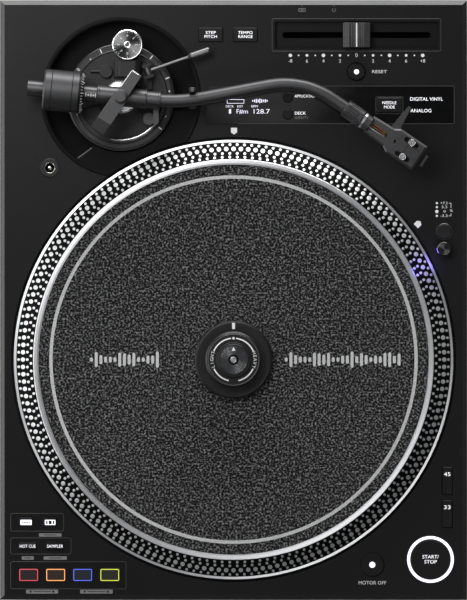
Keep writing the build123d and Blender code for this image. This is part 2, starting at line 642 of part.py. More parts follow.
# Tonearm base: a disc on a column, with the pivot collar, the lifter boss, the cue block
# with its ears, and the anti-skate housing that reaches out over the height ring.
BASE_R = 34.9
COLUMN_R = 20.0
COLLAR_R, COLLAR_TOP = 15.1, 113.0
YAW_SHAFT_R = 6.0
SKATE_XY, SKATE_R, SKATE_POST_R = (-80.1, 192.7), 11.4, 3.0
LIFTER_XY, LIFTER_R = (-63.8, 136.7), 2.5
CUE_XY, CUE_Z, CUE_ANGLE = (-64.6, 172.8), 117.0, 19.0
CUE_PIN_R = 1.5
LOCK_XY, LOCK_AXLE_R = (-96.3, 172.6), 2.0
REST_XY = (-31.0, 151.2)
cue_side = Plane(origin=(*CUE_XY, CUE_Z), x_dir=(*along(1, CUE_ANGLE), 0),
                 z_dir=(*along(1, CUE_ANGLE + 90), 0))
with BuildPart() as arm_base:
    with BuildSketch(Plane.XY.offset(WELL_FLOOR + 8)):
        with Locations(PIVOT):
            Circle(BASE_R)
    extrude(amount=BASE_TOP - WELL_FLOOR - 8)
    with BuildSketch(Plane.XY.offset(WELL_FLOOR - 20)):
        with Locations(PIVOT):
            Circle(COLUMN_R)
    extrude(amount=30)
    # lowered floor on the player's side, with a raised pad that ends in a soft curve
    with BuildSketch(Plane.XY.offset(BASE_TOP - 4)):
        with Locations(PIVOT):
            Circle(BASE_R - 3)
            Circle(COLLAR_R + 1.2, mode=Mode.SUBTRACT)
        Polygon(along(60, 195, PIVOT), PIVOT, along(60, -8, PIVOT), along(90, 20, PIVOT),
                along(90, 90, PIVOT), along(90, 160, PIVOT), align=None, mode=Mode.SUBTRACT)
    extrude(amount=5, mode=Mode.SUBTRACT)
    with BuildSketch(Plane.XY.offset(BASE_TOP - 4.5)):
        with BuildLine():
            Spline((-84.6, 124.3), (-83.4, 129.0), (-78.5, 131.4), (-73.0, 134.0), (-69.2, 138.0))
            Line((-69.2, 138.0), (-62.0, 136.0))
            Line((-62.0, 136.0), (-62.0, 130.2))
            RadiusArc((-62.0, 130.2), (-84.6, 124.3), 31)
        make_face()
    extrude(amount=2.2)
    with BuildSketch(Plane.XY.offset(BASE_TOP - 1)):
        with Locations(PIVOT):
            Circle(COLLAR_R)
    extrude(amount=COLLAR_TOP - BASE_TOP + 1)
    with BuildSketch(Plane.XY.offset(BASE_TOP - 5)):
        with Locations(LIFTER_XY):
            Circle(4.8)
    extrude(amount=14)
    # cue block and its two ears, joined by the lever's pin
    with BuildSketch(Plane.XY.offset(BASE_TOP - 1)):
        with Locations((CUE_XY[0], 168.5)):
            Rectangle(6, 19)
    extrude(amount=6.5)
    with BuildSketch(Plane.XY.offset(BASE_TOP + 5)):
        with Locations(Location((*CUE_XY, 0), (0, 0, CUE_ANGLE))):
            with Locations((0, 4.2), (0, -4.2)):
                Rectangle(6, 2.2)
    extrude(amount=CUE_Z - BASE_TOP - 2.5)
    with BuildSketch(cue_side.offset(-5.3)):
        Circle(CUE_PIN_R)
    extrude(amount=10.6)
    # anti-skate housing
    with BuildSketch(Plane.XY.offset(RING_TOP + 1.2)):
        with Locations((SKATE_XY[0], 175.8)):
            Rectangle(20.4, 34)
        with Locations(SKATE_XY):
            Circle(10.2)
    extrude(amount=2.6)
    with BuildSketch(Plane.XY.offset(RING_TOP + 3)):
        with Locations(SKATE_XY):
            Circle(SKATE_POST_R)
    extrude(amount=9.5)
    with BuildSketch(Plane.XY.offset(RING_TOP + 3)):
        with Locations((SKATE_XY[0], 169.6)):
            Rectangle(20.4, 22)
    extrude(amount=10)
    fillet(arm_base.edges().filter_by(Axis.Y).group_by(Axis.Z)[-1], 5)
    with BuildSketch(Plane.XY.offset(BASE_TOP - 1)):
        with Locations((SKATE_XY[0], 172)):
            Rectangle(20.4, 22)
    extrude(amount=RING_TOP + 2.2 - BASE_TOP)
    with BuildSketch(Plane.XY.offset(COLLAR_TOP)):
        with Locations(PIVOT):
            Circle(COLLAR_R + 0.6)
    extrude(amount=12, mode=Mode.SUBTRACT)
    # bracket out to the arm rest, level above the height ring
    with BuildSketch(Plane.XY.offset(RING_TOP + 1.2)):
        with Locations(Location((*along(40.5, ARM_ANGLE + 2, PIVOT), 0), (0, 0, ARM_ANGLE + 2))):
            Rectangle(34, 7)
    extrude(amount=2.8)
    with BuildSketch(Plane.XY.offset(BASE_TOP - 1)):
        with Locations(Location((*along(27.5, ARM_ANGLE + 2, PIVOT), 0), (0, 0, ARM_ANGLE + 2))):
            Rectangle(8, 7)
    extrude(amount=RING_TOP + 2.4 - BASE_TOP)
    # bores: vertical bearing, lifter guide
    with BuildSketch(Plane.XY.offset(BASE_TOP - 9)):
        with Locations(PIVOT):
            Circle(YAW_SHAFT_R + RUNNING)
        with Locations(LIFTER_XY):
            Circle(LIFTER_R + RUNNING)
    extrude(amount=30, mode=Mode.SUBTRACT)
    with BuildSketch(Plane.XY.offset(BASE_TOP - 5.5)):
        with Locations(LOCK_XY):
            Circle(LOCK_AXLE_R + RUNNING)
    extrude(amount=6, mode=Mode.SUBTRACT)
save(arm_base, "arm_base")

# Arm rest: a post with a saddle under the tube and a cheek that carries the clip.
SADDLE_TOP = ARM_Z - TUBE_R - 0.5
CLIP_Y, CLIP_Z, CLIP_R = 159.0, ARM_Z + 6.8, 1.5
with BuildPart() as arm_rest:
    with BuildSketch(Plane.XY.offset(RING_TOP + 4)):
        with Locations(REST_XY):
            Rectangle(5, 6)
    extrude(amount=SADDLE_TOP - RING_TOP - 4)
    with BuildSketch(Plane.XY.offset(SADDLE_TOP - 4)):
        with Locations((REST_XY[0], 152.2)):
            RectangleRounded(5, 16, 1)
    extrude(amount=4)
    with BuildSketch(Plane.XY.offset(SADDLE_TOP - 1)):
        with Locations((REST_XY[0], 158.6)):
            Rectangle(5, 3.2)
    extrude(amount=CLIP_Z - SADDLE_TOP - 1.4)
    with BuildSketch(Plane.XY.offset(CLIP_Z - 2.6)):
        with Locations((REST_XY[0] - 2.0, 158.9), (REST_XY[0] + 2.0, 158.9)):
            Rectangle(1.0, 2.6)
    extrude(amount=3.9)
    with BuildSketch(Plane.YZ.offset(REST_XY[0] - 2.5)):
        with Locations((CLIP_Y, CLIP_Z)):
            Circle(0.6)
    extrude(amount=5)
save(arm_rest, "arm_rest")

# Clip: stands open at rest and closes down over the tube.
with BuildPart() as arm_clamp:
    with BuildSketch(Plane.YZ.offset(REST_XY[0] - 1.2)):
        with Locations((CLIP_Y, CLIP_Z)):
            Circle(1.3)
        with Locations((CLIP_Y, CLIP_Z + 7)):
            Rectangle(1.4, 14)
        with Locations((CLIP_Y - 0.9, CLIP_Z + 13.2)):
            Rectangle(2.6, 1.6)
        with Locations((CLIP_Y, CLIP_Z)):
            Circle(0.6 + RUNNING, mode=Mode.SUBTRACT)
    extrude(amount=2.4)
save(arm_clamp, "arm_clamp")

# Anti-skate dial, on a post of the base.
with BuildPart() as anti_skate_knob:
    with BuildSketch(Plane.XY.offset(RING_TOP + 4.1)):
        with Locations(SKATE_XY):
            Circle(SKATE_R)
    extrude(amount=13.2)
    chamfer(anti_skate_knob.faces().sort_by(Axis.Z)[-1].edges(), 0.8)
    with BuildSketch(Plane.XY.offset(RING_TOP + 4.1)):
        with Locations(SKATE_XY):
            Circle(SKATE_POST_R + RUNNING)
    extrude(amount=9, mode=Mode.SUBTRACT)
save(anti_skate_knob, "anti_skate_knob")

# Arm lock: a small boss with a pin.
with BuildPart() as lock_lever:
    with BuildSketch(Plane.XY.offset(BASE_TOP + 0.1)):
        with Locations(LOCK_XY):
            Circle(5)
    extrude(amount=4)
    fillet(lock_lever.faces().sort_by(Axis.Z)[-1].edges(), 0.5)
    with BuildSketch(Plane.YZ.offset(LOCK_XY[0] - 11.5)):
        with Locations((LOCK_XY[1], BASE_TOP + 2.4)):
            Circle(1.0)
    extrude(amount=8)
    with BuildSketch(Plane.XY.offset(BASE_TOP - 5)):
        with Locations(LOCK_XY):
            Circle(LOCK_AXLE_R)
    extrude(amount=6)
save(lock_lever, "lock_lever")

# Cue lever: a hub on the cue pin, a slim rod and a thicker grip.
with BuildPart() as cue_lever:
    with BuildSketch(cue_side.offset(-2.8)):
        Circle(3.0)
    extrude(amount=5.6)
    with BuildSketch(Plane(origin=(*CUE_XY, CUE_Z), z_dir=(*along(1, CUE_ANGLE), 0))):
        Circle(1.2)
    extrude(amount=34)
    with BuildSketch(Plane(origin=(*along(32, CUE_ANGLE, CUE_XY), CUE_Z),
                           z_dir=(*along(1, CUE_ANGLE), 0))):
        Circle(1.5)
    extrude(amount=3, taper=-22)
    with BuildSketch(Plane(origin=(*along(34.5, CUE_ANGLE, CUE_XY), CUE_Z),
                           z_dir=(*along(1, CUE_ANGLE), 0))):
        Circle(2.65)
    extrude(amount=15)
    fillet(cue_lever.faces().sort_by(Axis.X)[-1].edges(), 1.6)
    with BuildSketch(cue_side.offset(-2.9)):
        Circle(CUE_PIN_R + RUNNING)
    extrude(amount=5.8, mode=Mode.SUBTRACT)
save(cue_lever, "cue_lever")

# Lifter: a plunger in the base whose head carries a bar under the arm's collar.
LIFT_TRAVEL = 2.4
BAR_TOP = ARM_Z - 6.4 - 0.4 - LIFT_TRAVEL
with BuildPart() as lifter:
    with BuildSketch(Plane.XY.offset(BASE_TOP - 8)):
        with Locations(LIFTER_XY):
            Circle(LIFTER_R)
    extrude(amount=18)
    with BuildSketch(Plane.XY.offset(BASE_TOP + 9.5)):
        with Locations(LIFTER_XY):
            Circle(4.4)
        with Locations((-60.5, 136.7)):
            Rectangle(6, 4)
    extrude(amount=1.8)
    with BuildSketch(Plane.XY.offset(BASE_TOP + 9.5)):
        with Locations((-58.5, 142.6)):
            SlotOverall(20.8, 4.0, rotation=90)
    extrude(amount=BAR_TOP - BASE_TOP - 9.5)
save(lifter, "lifter")

# ---- tonearm --------------------------------------------------------------------------
# Yoke: the shaft and disc that swing in the collar, a fork under and over the arm, the
# bearing block on one side, and the pivot cap on top.
YOKE_PLANE = Plane(origin=(*PIVOT, 0), x_dir=(*along(1, YOKE_ANGLE), 0), z_dir=(0, 0, 1))
FORK_IN, FORK_OUT, FORK_W = 13.0, 16.5, 8.0
BAR_Z = ARM_Z + 9.2
TRUNNION_R = 2.5
with BuildPart() as gimbal_yoke:
    with BuildSketch(Plane.XY.offset(BASE_TOP - 8)):
        with Locations(PIVOT):
            Circle(YAW_SHAFT_R)
    extrude(amount=26)
    with BuildSketch(Plane.XY.offset(COLLAR_TOP + 0.15)):
        with Locations(PIVOT):
            Circle(12.7)
    extrude(amount=2.2)
    with BuildSketch(YOKE_PLANE.offset(ARM_Z - 13.5)):
        Rectangle(2 * FORK_OUT, FORK_W)
    extrude(amount=4)
    with BuildSketch(YOKE_PLANE.offset(ARM_Z - 13.5)):
        with Locations(((FORK_IN + FORK_OUT) / 2, 0), (-(FORK_IN + FORK_OUT) / 2, 0)):
            Rectangle(FORK_OUT - FORK_IN, FORK_W)
    extrude(amount=BAR_Z - ARM_Z + 14)
    # top bar, long to the bearing block, short to the other end
    with BuildSketch(YOKE_PLANE.offset(BAR_Z)):
        with Locations((11.0, 0)):
            Rectangle(22.0, 8.6)
        with Locations((-15.75, 0)):
            Rectangle(31.5, 11.3)
    extrude(amount=5)
    with BuildSketch(YOKE_PLANE.offset(ARM_Z - 6)):
        with Locations(((-31.5 - FORK_OUT) / 2, 0)):
            Rectangle(31.5 - FORK_OUT, 11.3)
        with Locations(((22.0 + FORK_OUT) / 2, 0)):
            Rectangle(22.0 - FORK_OUT, 8.6)
    extrude(amount=BAR_Z - ARM_Z + 7)
    # ribs across the bearing block's top
    with BuildSketch(YOKE_PLANE.offset(BAR_Z + 4.2)):
        with Locations((-14.5, 0)):
            with GridLocations(1.6, 1, 8, 1):
                Rectangle(0.7, 8.6)
    extrude(amount=2, mode=Mode.SUBTRACT)
    with BuildSketch(YOKE_PLANE.offset(BAR_Z + 5)):
        Circle(4.3)
    extrude(amount=159.0 - BAR_Z - 5)
    fillet(gimbal_yoke.faces().sort_by(Axis.Z)[-1].edges(), 0.6)
    with BuildSketch(YOKE_PLANE.offset(158.2)):
        Rectangle(5, 0.9)
    extrude(amount=1, mode=Mode.SUBTRACT)
    # trunnion bores
    with BuildSketch(Plane(origin=(*along(-17, YOKE_ANGLE, PIVOT), ARM_Z),
                           z_dir=(*along(1, YOKE_ANGLE), 0))):
        Circle(TRUNNION_R + RUNNING)
    extrude(amount=34, mode=Mode.SUBTRACT)
save(gimbal_yoke, "gimbal_yoke")


def arm_plane(distance):
    """A plane across the arm's straight axis, at a distance ahead of the pivot."""
    return Plane(origin=(*along(distance, ARM_ANGLE, PIVOT), ARM_Z),
                 z_dir=(*along(1, ARM_ANGLE), 0))


# Pivot housing: the body round the tilt axis with its trunnions, the collar in front and
# the threaded shaft for the counterweight behind.
HOUSING_R, COLLAR_ARM_R, REAR_SHAFT_R = 7.2, 6.4, 6.0
with BuildPart() as pivot_housing:
    with BuildSketch(arm_plane(-18.1)):
        Circle(HOUSING_R)
    extrude(amount=37.7)
    with BuildSketch(arm_plane(19.6)):
        Circle(COLLAR_ARM_R)
    extrude(amount=10.3)
    with BuildSketch(arm_plane(-70.6)):
        Circle(REAR_SHAFT_R)
    extrude(amount=52.5)
    with BuildSketch(Plane(origin=(*along(-16.4, YOKE_ANGLE, PIVOT), ARM_Z),
                           z_dir=(*along(1, YOKE_ANGLE), 0))):
        Circle(TRUNNION_R)
    extrude(amount=32.8)
    with BuildSketch(arm_plane(16)):
        Circle(TUBE_R)
    extrude(amount=14, mode=Mode.SUBTRACT)
save(pivot_housing, "pivot_housing")

# Arm tube: one S-shaped tube of round section.
with BuildPart() as arm_tube:
    with BuildLine() as route:
        straight = Line((*along(16, ARM_ANGLE, PIVOT), ARM_Z),
                        (*along(BEND_START, ARM_ANGLE, PIVOT), ARM_Z))
        first = JernArc(straight @ 1, straight % 1, FIRST_BEND[0], FIRST_BEND[1])
        middle = Line(first @ 1, first @ 1 + (first % 1) * MIDDLE_RUN)
        second = JernArc(middle @ 1, middle % 1, SECOND_BEND[0], SECOND_BEND[1])
        last = Line(second @ 1, second @ 1 + (second % 1) * (NUT_START + NUT_LENGTH - 0.6))
    with BuildSketch(arm_plane(16)):
        Circle(TUBE_R)
        Circle(TUBE_R - TUBE_WALL, mode=Mode.SUBTRACT)
    sweep(path=route.line)
save(arm_tube, "arm_tube")

BEND_END = (second @ 1).X, (second @ 1).Y      # where the tube's last straight starts


def shell_plane(distance):
    """A plane across the headshell's axis, at a distance past the end of the second bend."""
    return Plane(origin=(*along(distance, SHELL_ANGLE, BEND_END), ARM_Z),
                 z_dir=(*along(1, SHELL_ANGLE), 0))


# Locking nut: turns on the tube and draws the headshell in.
with BuildPart() as locking_nut:
    with BuildSketch(shell_plane(NUT_START)):
        Circle(6.9)
        Circle(TUBE_R + RUNNING, mode=Mode.SUBTRACT)
    extrude(amount=NUT_LENGTH)
    chamfer(locking_nut.faces().filter_by(GeomType.PLANE).edges().filter_by(GeomType.CIRCLE)
            .sort_by(SortBy.RADIUS)[-2:], 0.5)
    with BuildSketch(shell_plane(NUT_START + 3)):
        with PolarLocations(7.1, 24):
            Circle(0.55)
    extrude(amount=9, mode=Mode.SUBTRACT)
save(locking_nut, "locking_nut")

# Headshell, seen from above: a neck that widens to a square front, pierced by the wire
# window, a locating hole and two slots for the cartridge screws. Its frame has X along the
# shell towards the stylus and Y to the arm's outer side.
SHELL_PLANE = Plane(origin=(*along(SHELL_START, SHELL_ANGLE, BEND_END), 0),
                    x_dir=(*along(1, SHELL_ANGLE), 0), z_dir=(0, 0, 1))
SHELL_LOW, SHELL_TOP = ARM_Z - 2.6, ARM_Z + 1.6
SCREW_X, SCREW_Y = 41.0, 6.35
with BuildPart() as headshell:
    with BuildSketch(SHELL_PLANE.offset(SHELL_LOW)):
        Polygon((5.8, -7.0), (24.0, -8.0), (28.5, -10.6), (52.5, -10.6), (52.5, 10.6),
                (28.5, 10.6), (24.0, 8.0), (5.8, 7.0), align=None)
    extrude(amount=SHELL_TOP - SHELL_LOW)
    chamfer(headshell.faces().sort_by(Axis.Z)[-1].edges(), 1.4)
    with BuildSketch(shell_plane(SHELL_START)):
        Circle(6.0)
    extrude(amount=7)
    with BuildSketch(shell_plane(SHELL_START - 9)):
        Circle(TUBE_R - TUBE_WALL - 0.02)
    extrude(amount=9.5)
    # finger lift on the outer side
    with BuildSketch(SHELL_PLANE.offset(SHELL_TOP - 2.4)):
        Polygon((21.0, 7.5), (28.0, 7.5), (25.6, 28.0), (23.2, 28.0), align=None)
    extrude(amount=1.2)
    with BuildSketch(SHELL_PLANE.offset(SHELL_LOW - 1)):
        with Locations((13.5, 0)):
            RectangleRounded(17.4, 4.3, 1.8)
        with Locations((30.0, 0)):
            Circle(1.4)
        with Locations((SCREW_X - 0.5, SCREW_Y), (SCREW_X - 0.5, -SCREW_Y)):
            SlotOverall(11.9, 3.0)
    extrude(amount=8, mode=Mode.SUBTRACT)
save(headshell, "headshell")

# Cartridge body and its replaceable stylus block.
with BuildPart() as cartridge:
    with BuildSketch(SHELL_PLANE.offset(SHELL_LOW - 12)):
        with Locations((36.0, 0)):
            Rectangle(20, 14)
    extrude(amount=9)
    with BuildSketch(SHELL_PLANE.offset(SHELL_LOW - 3)):
        with Locations((40.0, 0)):
            Rectangle(20, 17.5)
    extrude(amount=3)
    with BuildSketch(SHELL_PLANE.offset(SHELL_LOW - 3)):
        with Locations((SCREW_X, SCREW_Y), (SCREW_X, -SCREW_Y)):
            Circle(1.25)
    extrude(amount=4, mode=Mode.SUBTRACT)
    with BuildSketch(shell_plane(SHELL_START + 22)):
        with Locations(*[(dx, -(ARM_Z - SHELL_LOW) - dz) for dx in (-2.5, 2.5) for dz in (5, 8)]):
            Circle(0.7)
    extrude(amount=6)
save(cartridge, "cartridge")

TIP_Z = MAT_TOP + 1.9                  # a record is about 1.8 mm thick
with BuildPart() as stylus:
    with BuildSketch(SHELL_PLANE.offset(SHELL_LOW - 12)):
        with Locations((53.6, 0)):
            Rectangle(7.0, 9.3)
    extrude(amount=8)
    with BuildSketch(SHELL_PLANE.offset(SHELL_LOW - 8)):
        with Locations((48.2, 0)):
            Rectangle(4.2, 7.0)
    extrude(amount=4)
    with BuildLine() as cantilever:
        Line((*along(SHELL_START + 50.4, SHELL_ANGLE, BEND_END), SHELL_LOW - 11),
             (*along(SHELL_START + 45.2, SHELL_ANGLE, BEND_END), TIP_Z + 0.8))
    with BuildSketch(Plane(origin=cantilever.line @ 0, z_dir=cantilever.line % 0)):
        Circle(0.4)
    sweep(path=cantilever.line)
    with BuildSketch(SHELL_PLANE.offset(TIP_Z)):
        with Locations((45.2, 0)):
            Circle(0.12)
    extrude(amount=1.2, taper=-12)
save(stylus, "stylus")

# Two slotted screws that hold the cartridge.
with BuildPart() as headshell_screws:
    with BuildSketch(SHELL_PLANE.offset(SHELL_TOP)):
        with Locations((SCREW_X, SCREW_Y), (SCREW_X, -SCREW_Y)):
            Circle(2.45)
    extrude(amount=1.5)
    with BuildSketch(SHELL_PLANE.offset(SHELL_LOW - 3)):
        with Locations((SCREW_X, SCREW_Y), (SCREW_X, -SCREW_Y)):
            Circle(1.25)
    extrude(amount=SHELL_TOP - SHELL_LOW + 3)
    with BuildSketch(SHELL_PLANE.offset(SHELL_TOP + 0.8)):
        with Locations((SCREW_X, SCREW_Y), (SCREW_X, -SCREW_Y)):
            Rectangle(0.8, 6)
    extrude(amount=1, mode=Mode.SUBTRACT)
save(headshell_screws, "headshell_screws")

# Counterweight: a threaded core that travels on the rear shaft, the weight that turns on
# it, and the tracking-force dial in front.
WEIGHT_R, CORE_R = 15.5, 11.5
WEIGHT_REAR, WEIGHT_FRONT, DIAL_FRONT = -58.7, -32.0, -28.0
with BuildPart() as counterweight_core:
    with BuildSketch(arm_plane(WEIGHT_REAR + 0.5)):
        Circle(CORE_R)
        Circle(REAR_SHAFT_R + RUNNING, mode=Mode.SUBTRACT)
    extrude(amount=DIAL_FRONT - WEIGHT_REAR - 1)
save(counterweight_core, "counterweight_core")

with BuildPart() as counterweight:
    with BuildSketch(arm_plane(WEIGHT_REAR)):
        Circle(WEIGHT_R)
        Circle(CORE_R + RUNNING, mode=Mode.SUBTRACT)
    extrude(amount=WEIGHT_FRONT - WEIGHT_REAR)
    chamfer(counterweight.faces().sort_by(Axis.X)[0].edges().sort_by(SortBy.RADIUS)[-1], 1.2)
    for distance in (WEIGHT_REAR + 5.8, WEIGHT_REAR + 21.5):
        with BuildSketch(arm_plane(distance)):
            Circle(WEIGHT_R + 1)
            Circle(WEIGHT_R - 0.5, mode=Mode.SUBTRACT)
        extrude(amount=0.6, mode=Mode.SUBTRACT)
save(counterweight, "counterweight")

with BuildPart() as tracking_dial:
    with BuildSketch(arm_plane(WEIGHT_FRONT + 0.3)):
        Circle(15.3)
        Circle(CORE_R + RUNNING, mode=Mode.SUBTRACT)
    extrude(amount=DIAL_FRONT - WEIGHT_FRONT - 0.3)
    chamfer(tracking_dial.faces().sort_by(Axis.X)[-1].edges().sort_by(SortBy.RADIUS)[-1], 2.4)
save(tracking_dial, "tracking_dial")
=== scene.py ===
import json
import math
import bmesh
import bpy
from mathutils import Matrix, Vector, noise


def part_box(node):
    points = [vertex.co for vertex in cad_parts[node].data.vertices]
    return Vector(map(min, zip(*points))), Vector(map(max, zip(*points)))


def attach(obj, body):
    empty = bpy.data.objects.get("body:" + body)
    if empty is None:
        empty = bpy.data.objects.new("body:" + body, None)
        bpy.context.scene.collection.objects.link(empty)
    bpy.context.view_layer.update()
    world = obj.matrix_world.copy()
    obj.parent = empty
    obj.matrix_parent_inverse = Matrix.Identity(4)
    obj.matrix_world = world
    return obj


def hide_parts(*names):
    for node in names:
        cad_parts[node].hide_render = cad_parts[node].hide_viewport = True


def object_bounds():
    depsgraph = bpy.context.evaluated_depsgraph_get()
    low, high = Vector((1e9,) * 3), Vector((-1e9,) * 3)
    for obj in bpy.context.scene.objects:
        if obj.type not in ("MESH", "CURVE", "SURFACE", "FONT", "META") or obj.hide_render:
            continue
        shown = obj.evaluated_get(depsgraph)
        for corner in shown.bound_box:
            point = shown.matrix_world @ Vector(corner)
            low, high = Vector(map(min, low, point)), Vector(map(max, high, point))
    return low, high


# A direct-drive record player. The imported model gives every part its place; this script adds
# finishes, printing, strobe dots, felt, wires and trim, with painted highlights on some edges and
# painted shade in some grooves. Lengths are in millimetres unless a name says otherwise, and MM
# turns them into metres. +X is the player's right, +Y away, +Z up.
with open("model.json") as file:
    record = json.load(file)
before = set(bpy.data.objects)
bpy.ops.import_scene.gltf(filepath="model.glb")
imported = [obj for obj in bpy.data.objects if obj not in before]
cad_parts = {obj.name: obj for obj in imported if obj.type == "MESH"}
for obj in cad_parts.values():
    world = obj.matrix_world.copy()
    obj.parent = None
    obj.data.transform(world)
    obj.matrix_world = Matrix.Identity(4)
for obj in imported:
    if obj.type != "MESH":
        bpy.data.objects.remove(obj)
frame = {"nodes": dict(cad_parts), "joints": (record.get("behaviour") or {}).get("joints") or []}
CAD_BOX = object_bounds()
MM = 0.001
NODES = frame["nodes"]
JOINTS = {joint["name"]: joint for joint in frame["joints"]}


def spot(node):
    """Centre of a CAD node's box in x and y, and its top, in mm."""
    low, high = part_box(node)
    return (low.x + high.x) / 2 / MM, (low.y + high.y) / 2 / MM, high.z / MM


def place(joint):
    """A joint's position, in mm."""
    return Vector(JOINTS[joint]["pos_m"]) / MM


def basis(origin, x_dir):
    """A frame in mm with X along x_dir, Z up as far as that allows."""
    x = Vector(x_dir).normalized()
    y = Vector((0, 0, 1)).cross(x).normalized()
    z = x.cross(y)
    turn = Matrix((x, y, z)).transposed().to_4x4()
    return Matrix.Translation(origin) @ turn


# ---- measures taken from the frame ----------------------------------------------------
DECK = spot("top_deck")[2]
PLATTER = Vector((*spot("platter")[:2], 0))
PLATTER_R = (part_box("platter")[1].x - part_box("platter")[0].x) / 2 / MM
MAT_R = (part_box("slipmat")[1].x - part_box("slipmat")[0].x) / 2 / MM
MAT_LOW, MAT_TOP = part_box("slipmat")[0].z / MM, spot("slipmat")[2]
PIVOT = place("arm_tilt")
ARM = basis(PIVOT, JOINTS["weight_turn"]["axis"])
SHELL_DIR = Vector(JOINTS["nut_turn"]["axis"])
NUT_LENGTH = 15.2
SHELL = basis(place("nut_turn") + SHELL_DIR * (NUT_LENGTH / 2 + 0.3), SHELL_DIR)
YOKE = basis(PIVOT, -Vector(JOINTS["arm_tilt"]["axis"]))
CASE_W = (CAD_BOX[1].x - CAD_BOX[0].x) / MM
CASE_D = (CAD_BOX[1].y - CAD_BOX[0].y) / MM

# ---- camera and lights ----------------------------------------------------------------
CAMERA_HEIGHT_M = 12.0
IMAGE_ASPECT = 467 / 600
camera = bpy.data.objects.new("camera", bpy.data.cameras.new("camera"))
bpy.context.scene.collection.objects.link(camera)
camera.location = (0, 0, CAMERA_HEIGHT_M)
camera.data.sensor_width = 36
field = max(CASE_D, CASE_W / IMAGE_ASPECT) * MM
camera.data.lens = 36 * (CAMERA_HEIGHT_M - DECK * MM) / field
bpy.context.scene.camera = camera
bpy.context.scene.view_settings.view_transform = "Standard"

world = bpy.data.worlds.new("studio")
bpy.context.scene.world = world
world.use_nodes = True
world.node_tree.nodes["Background"].inputs["Color"].default_value = (0.85, 0.92, 1.0, 1)
world.node_tree.nodes["Background"].inputs["Strength"].default_value = 0.05


def area_light(name, position, target, size, radiance, colour=(1, 1, 1)):
    """A rectangular softbox; size is (width, height) in metres, radiance its brightness."""
    data = bpy.data.lights.new(name, "AREA")
    data.shape, data.size, data.size_y = "RECTANGLE", *size
    data.energy = radiance * size[0] * size[1] * math.pi
    data.color = colour
    light = bpy.data.objects.new(name, data)
    bpy.context.scene.collection.objects.link(light)
    light.location = position
    light.rotation_euler = (Vector(target) - Vector(position)).to_track_quat("-Z", "Y").to_euler()
    light.visible_camera = False
    return light


def bearing(azimuth, zenith, distance):
    """A point seen from the platter at an azimuth from +X and an angle from overhead."""
    a, z = math.radians(azimuth), math.radians(zenith)
    return (distance * math.sin(z) * math.cos(a), distance * math.sin(z) * math.sin(a),
            0.1 + distance * math.cos(z))


CENTRE_M = (0, 0, 0.1)
area_light("softbox_over", (0, 0, 2.4), CENTRE_M, (2.4, 2.4), 0.05)
area_light("softbox_corner", (-0.25, 0.33, 0.80), (-0.25, 0.33, 0), (0.26, 0.26), 7.0)
area_light("key", bearing(133, 30, 2.4), CENTRE_M, (2.1, 0.8), 3.2)
area_light("kicker_back", bearing(82, 36, 2.4), CENTRE_M, (0.35, 0.5), 5.0)
area_light("kicker_front", bearing(213, 36, 2.4), CENTRE_M, (0.35, 0.5), 4.0)
area_light("kicker_low", bearing(306, 24, 2.4), CENTRE_M, (1.3, 0.40), 4.6)
area_light("strip_back", (0, 2.6, 0.5), CENTRE_M, (3.0, 0.5), 22.0)
area_light("strip_side", (-2.6, 0, 0.5), CENTRE_M, (3.0, 0.5), 9.0)
# a small card whose slanted edge shows in the display window
card = area_light("display_card", (0.018, 0.175, 0.60), (0.018, 0.175, 0), (0.11, 0.085), 0.65)
card.rotation_euler = (0, 0, math.radians(145))

# the strobe lamp's violet glow on the platter's edge
STROBE_M = sum(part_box("strobe_lamp"), Vector()) / 2
area_light("strobe_glow", STROBE_M + Vector((-0.0135, -0.0135, 0.018)),
           STROBE_M + Vector((-0.0145, -0.0145, 0.0)), (0.006, 0.006), 26.0, (0.22, 0.16, 1.0))

# ---- finishes -------------------------------------------------------------------------


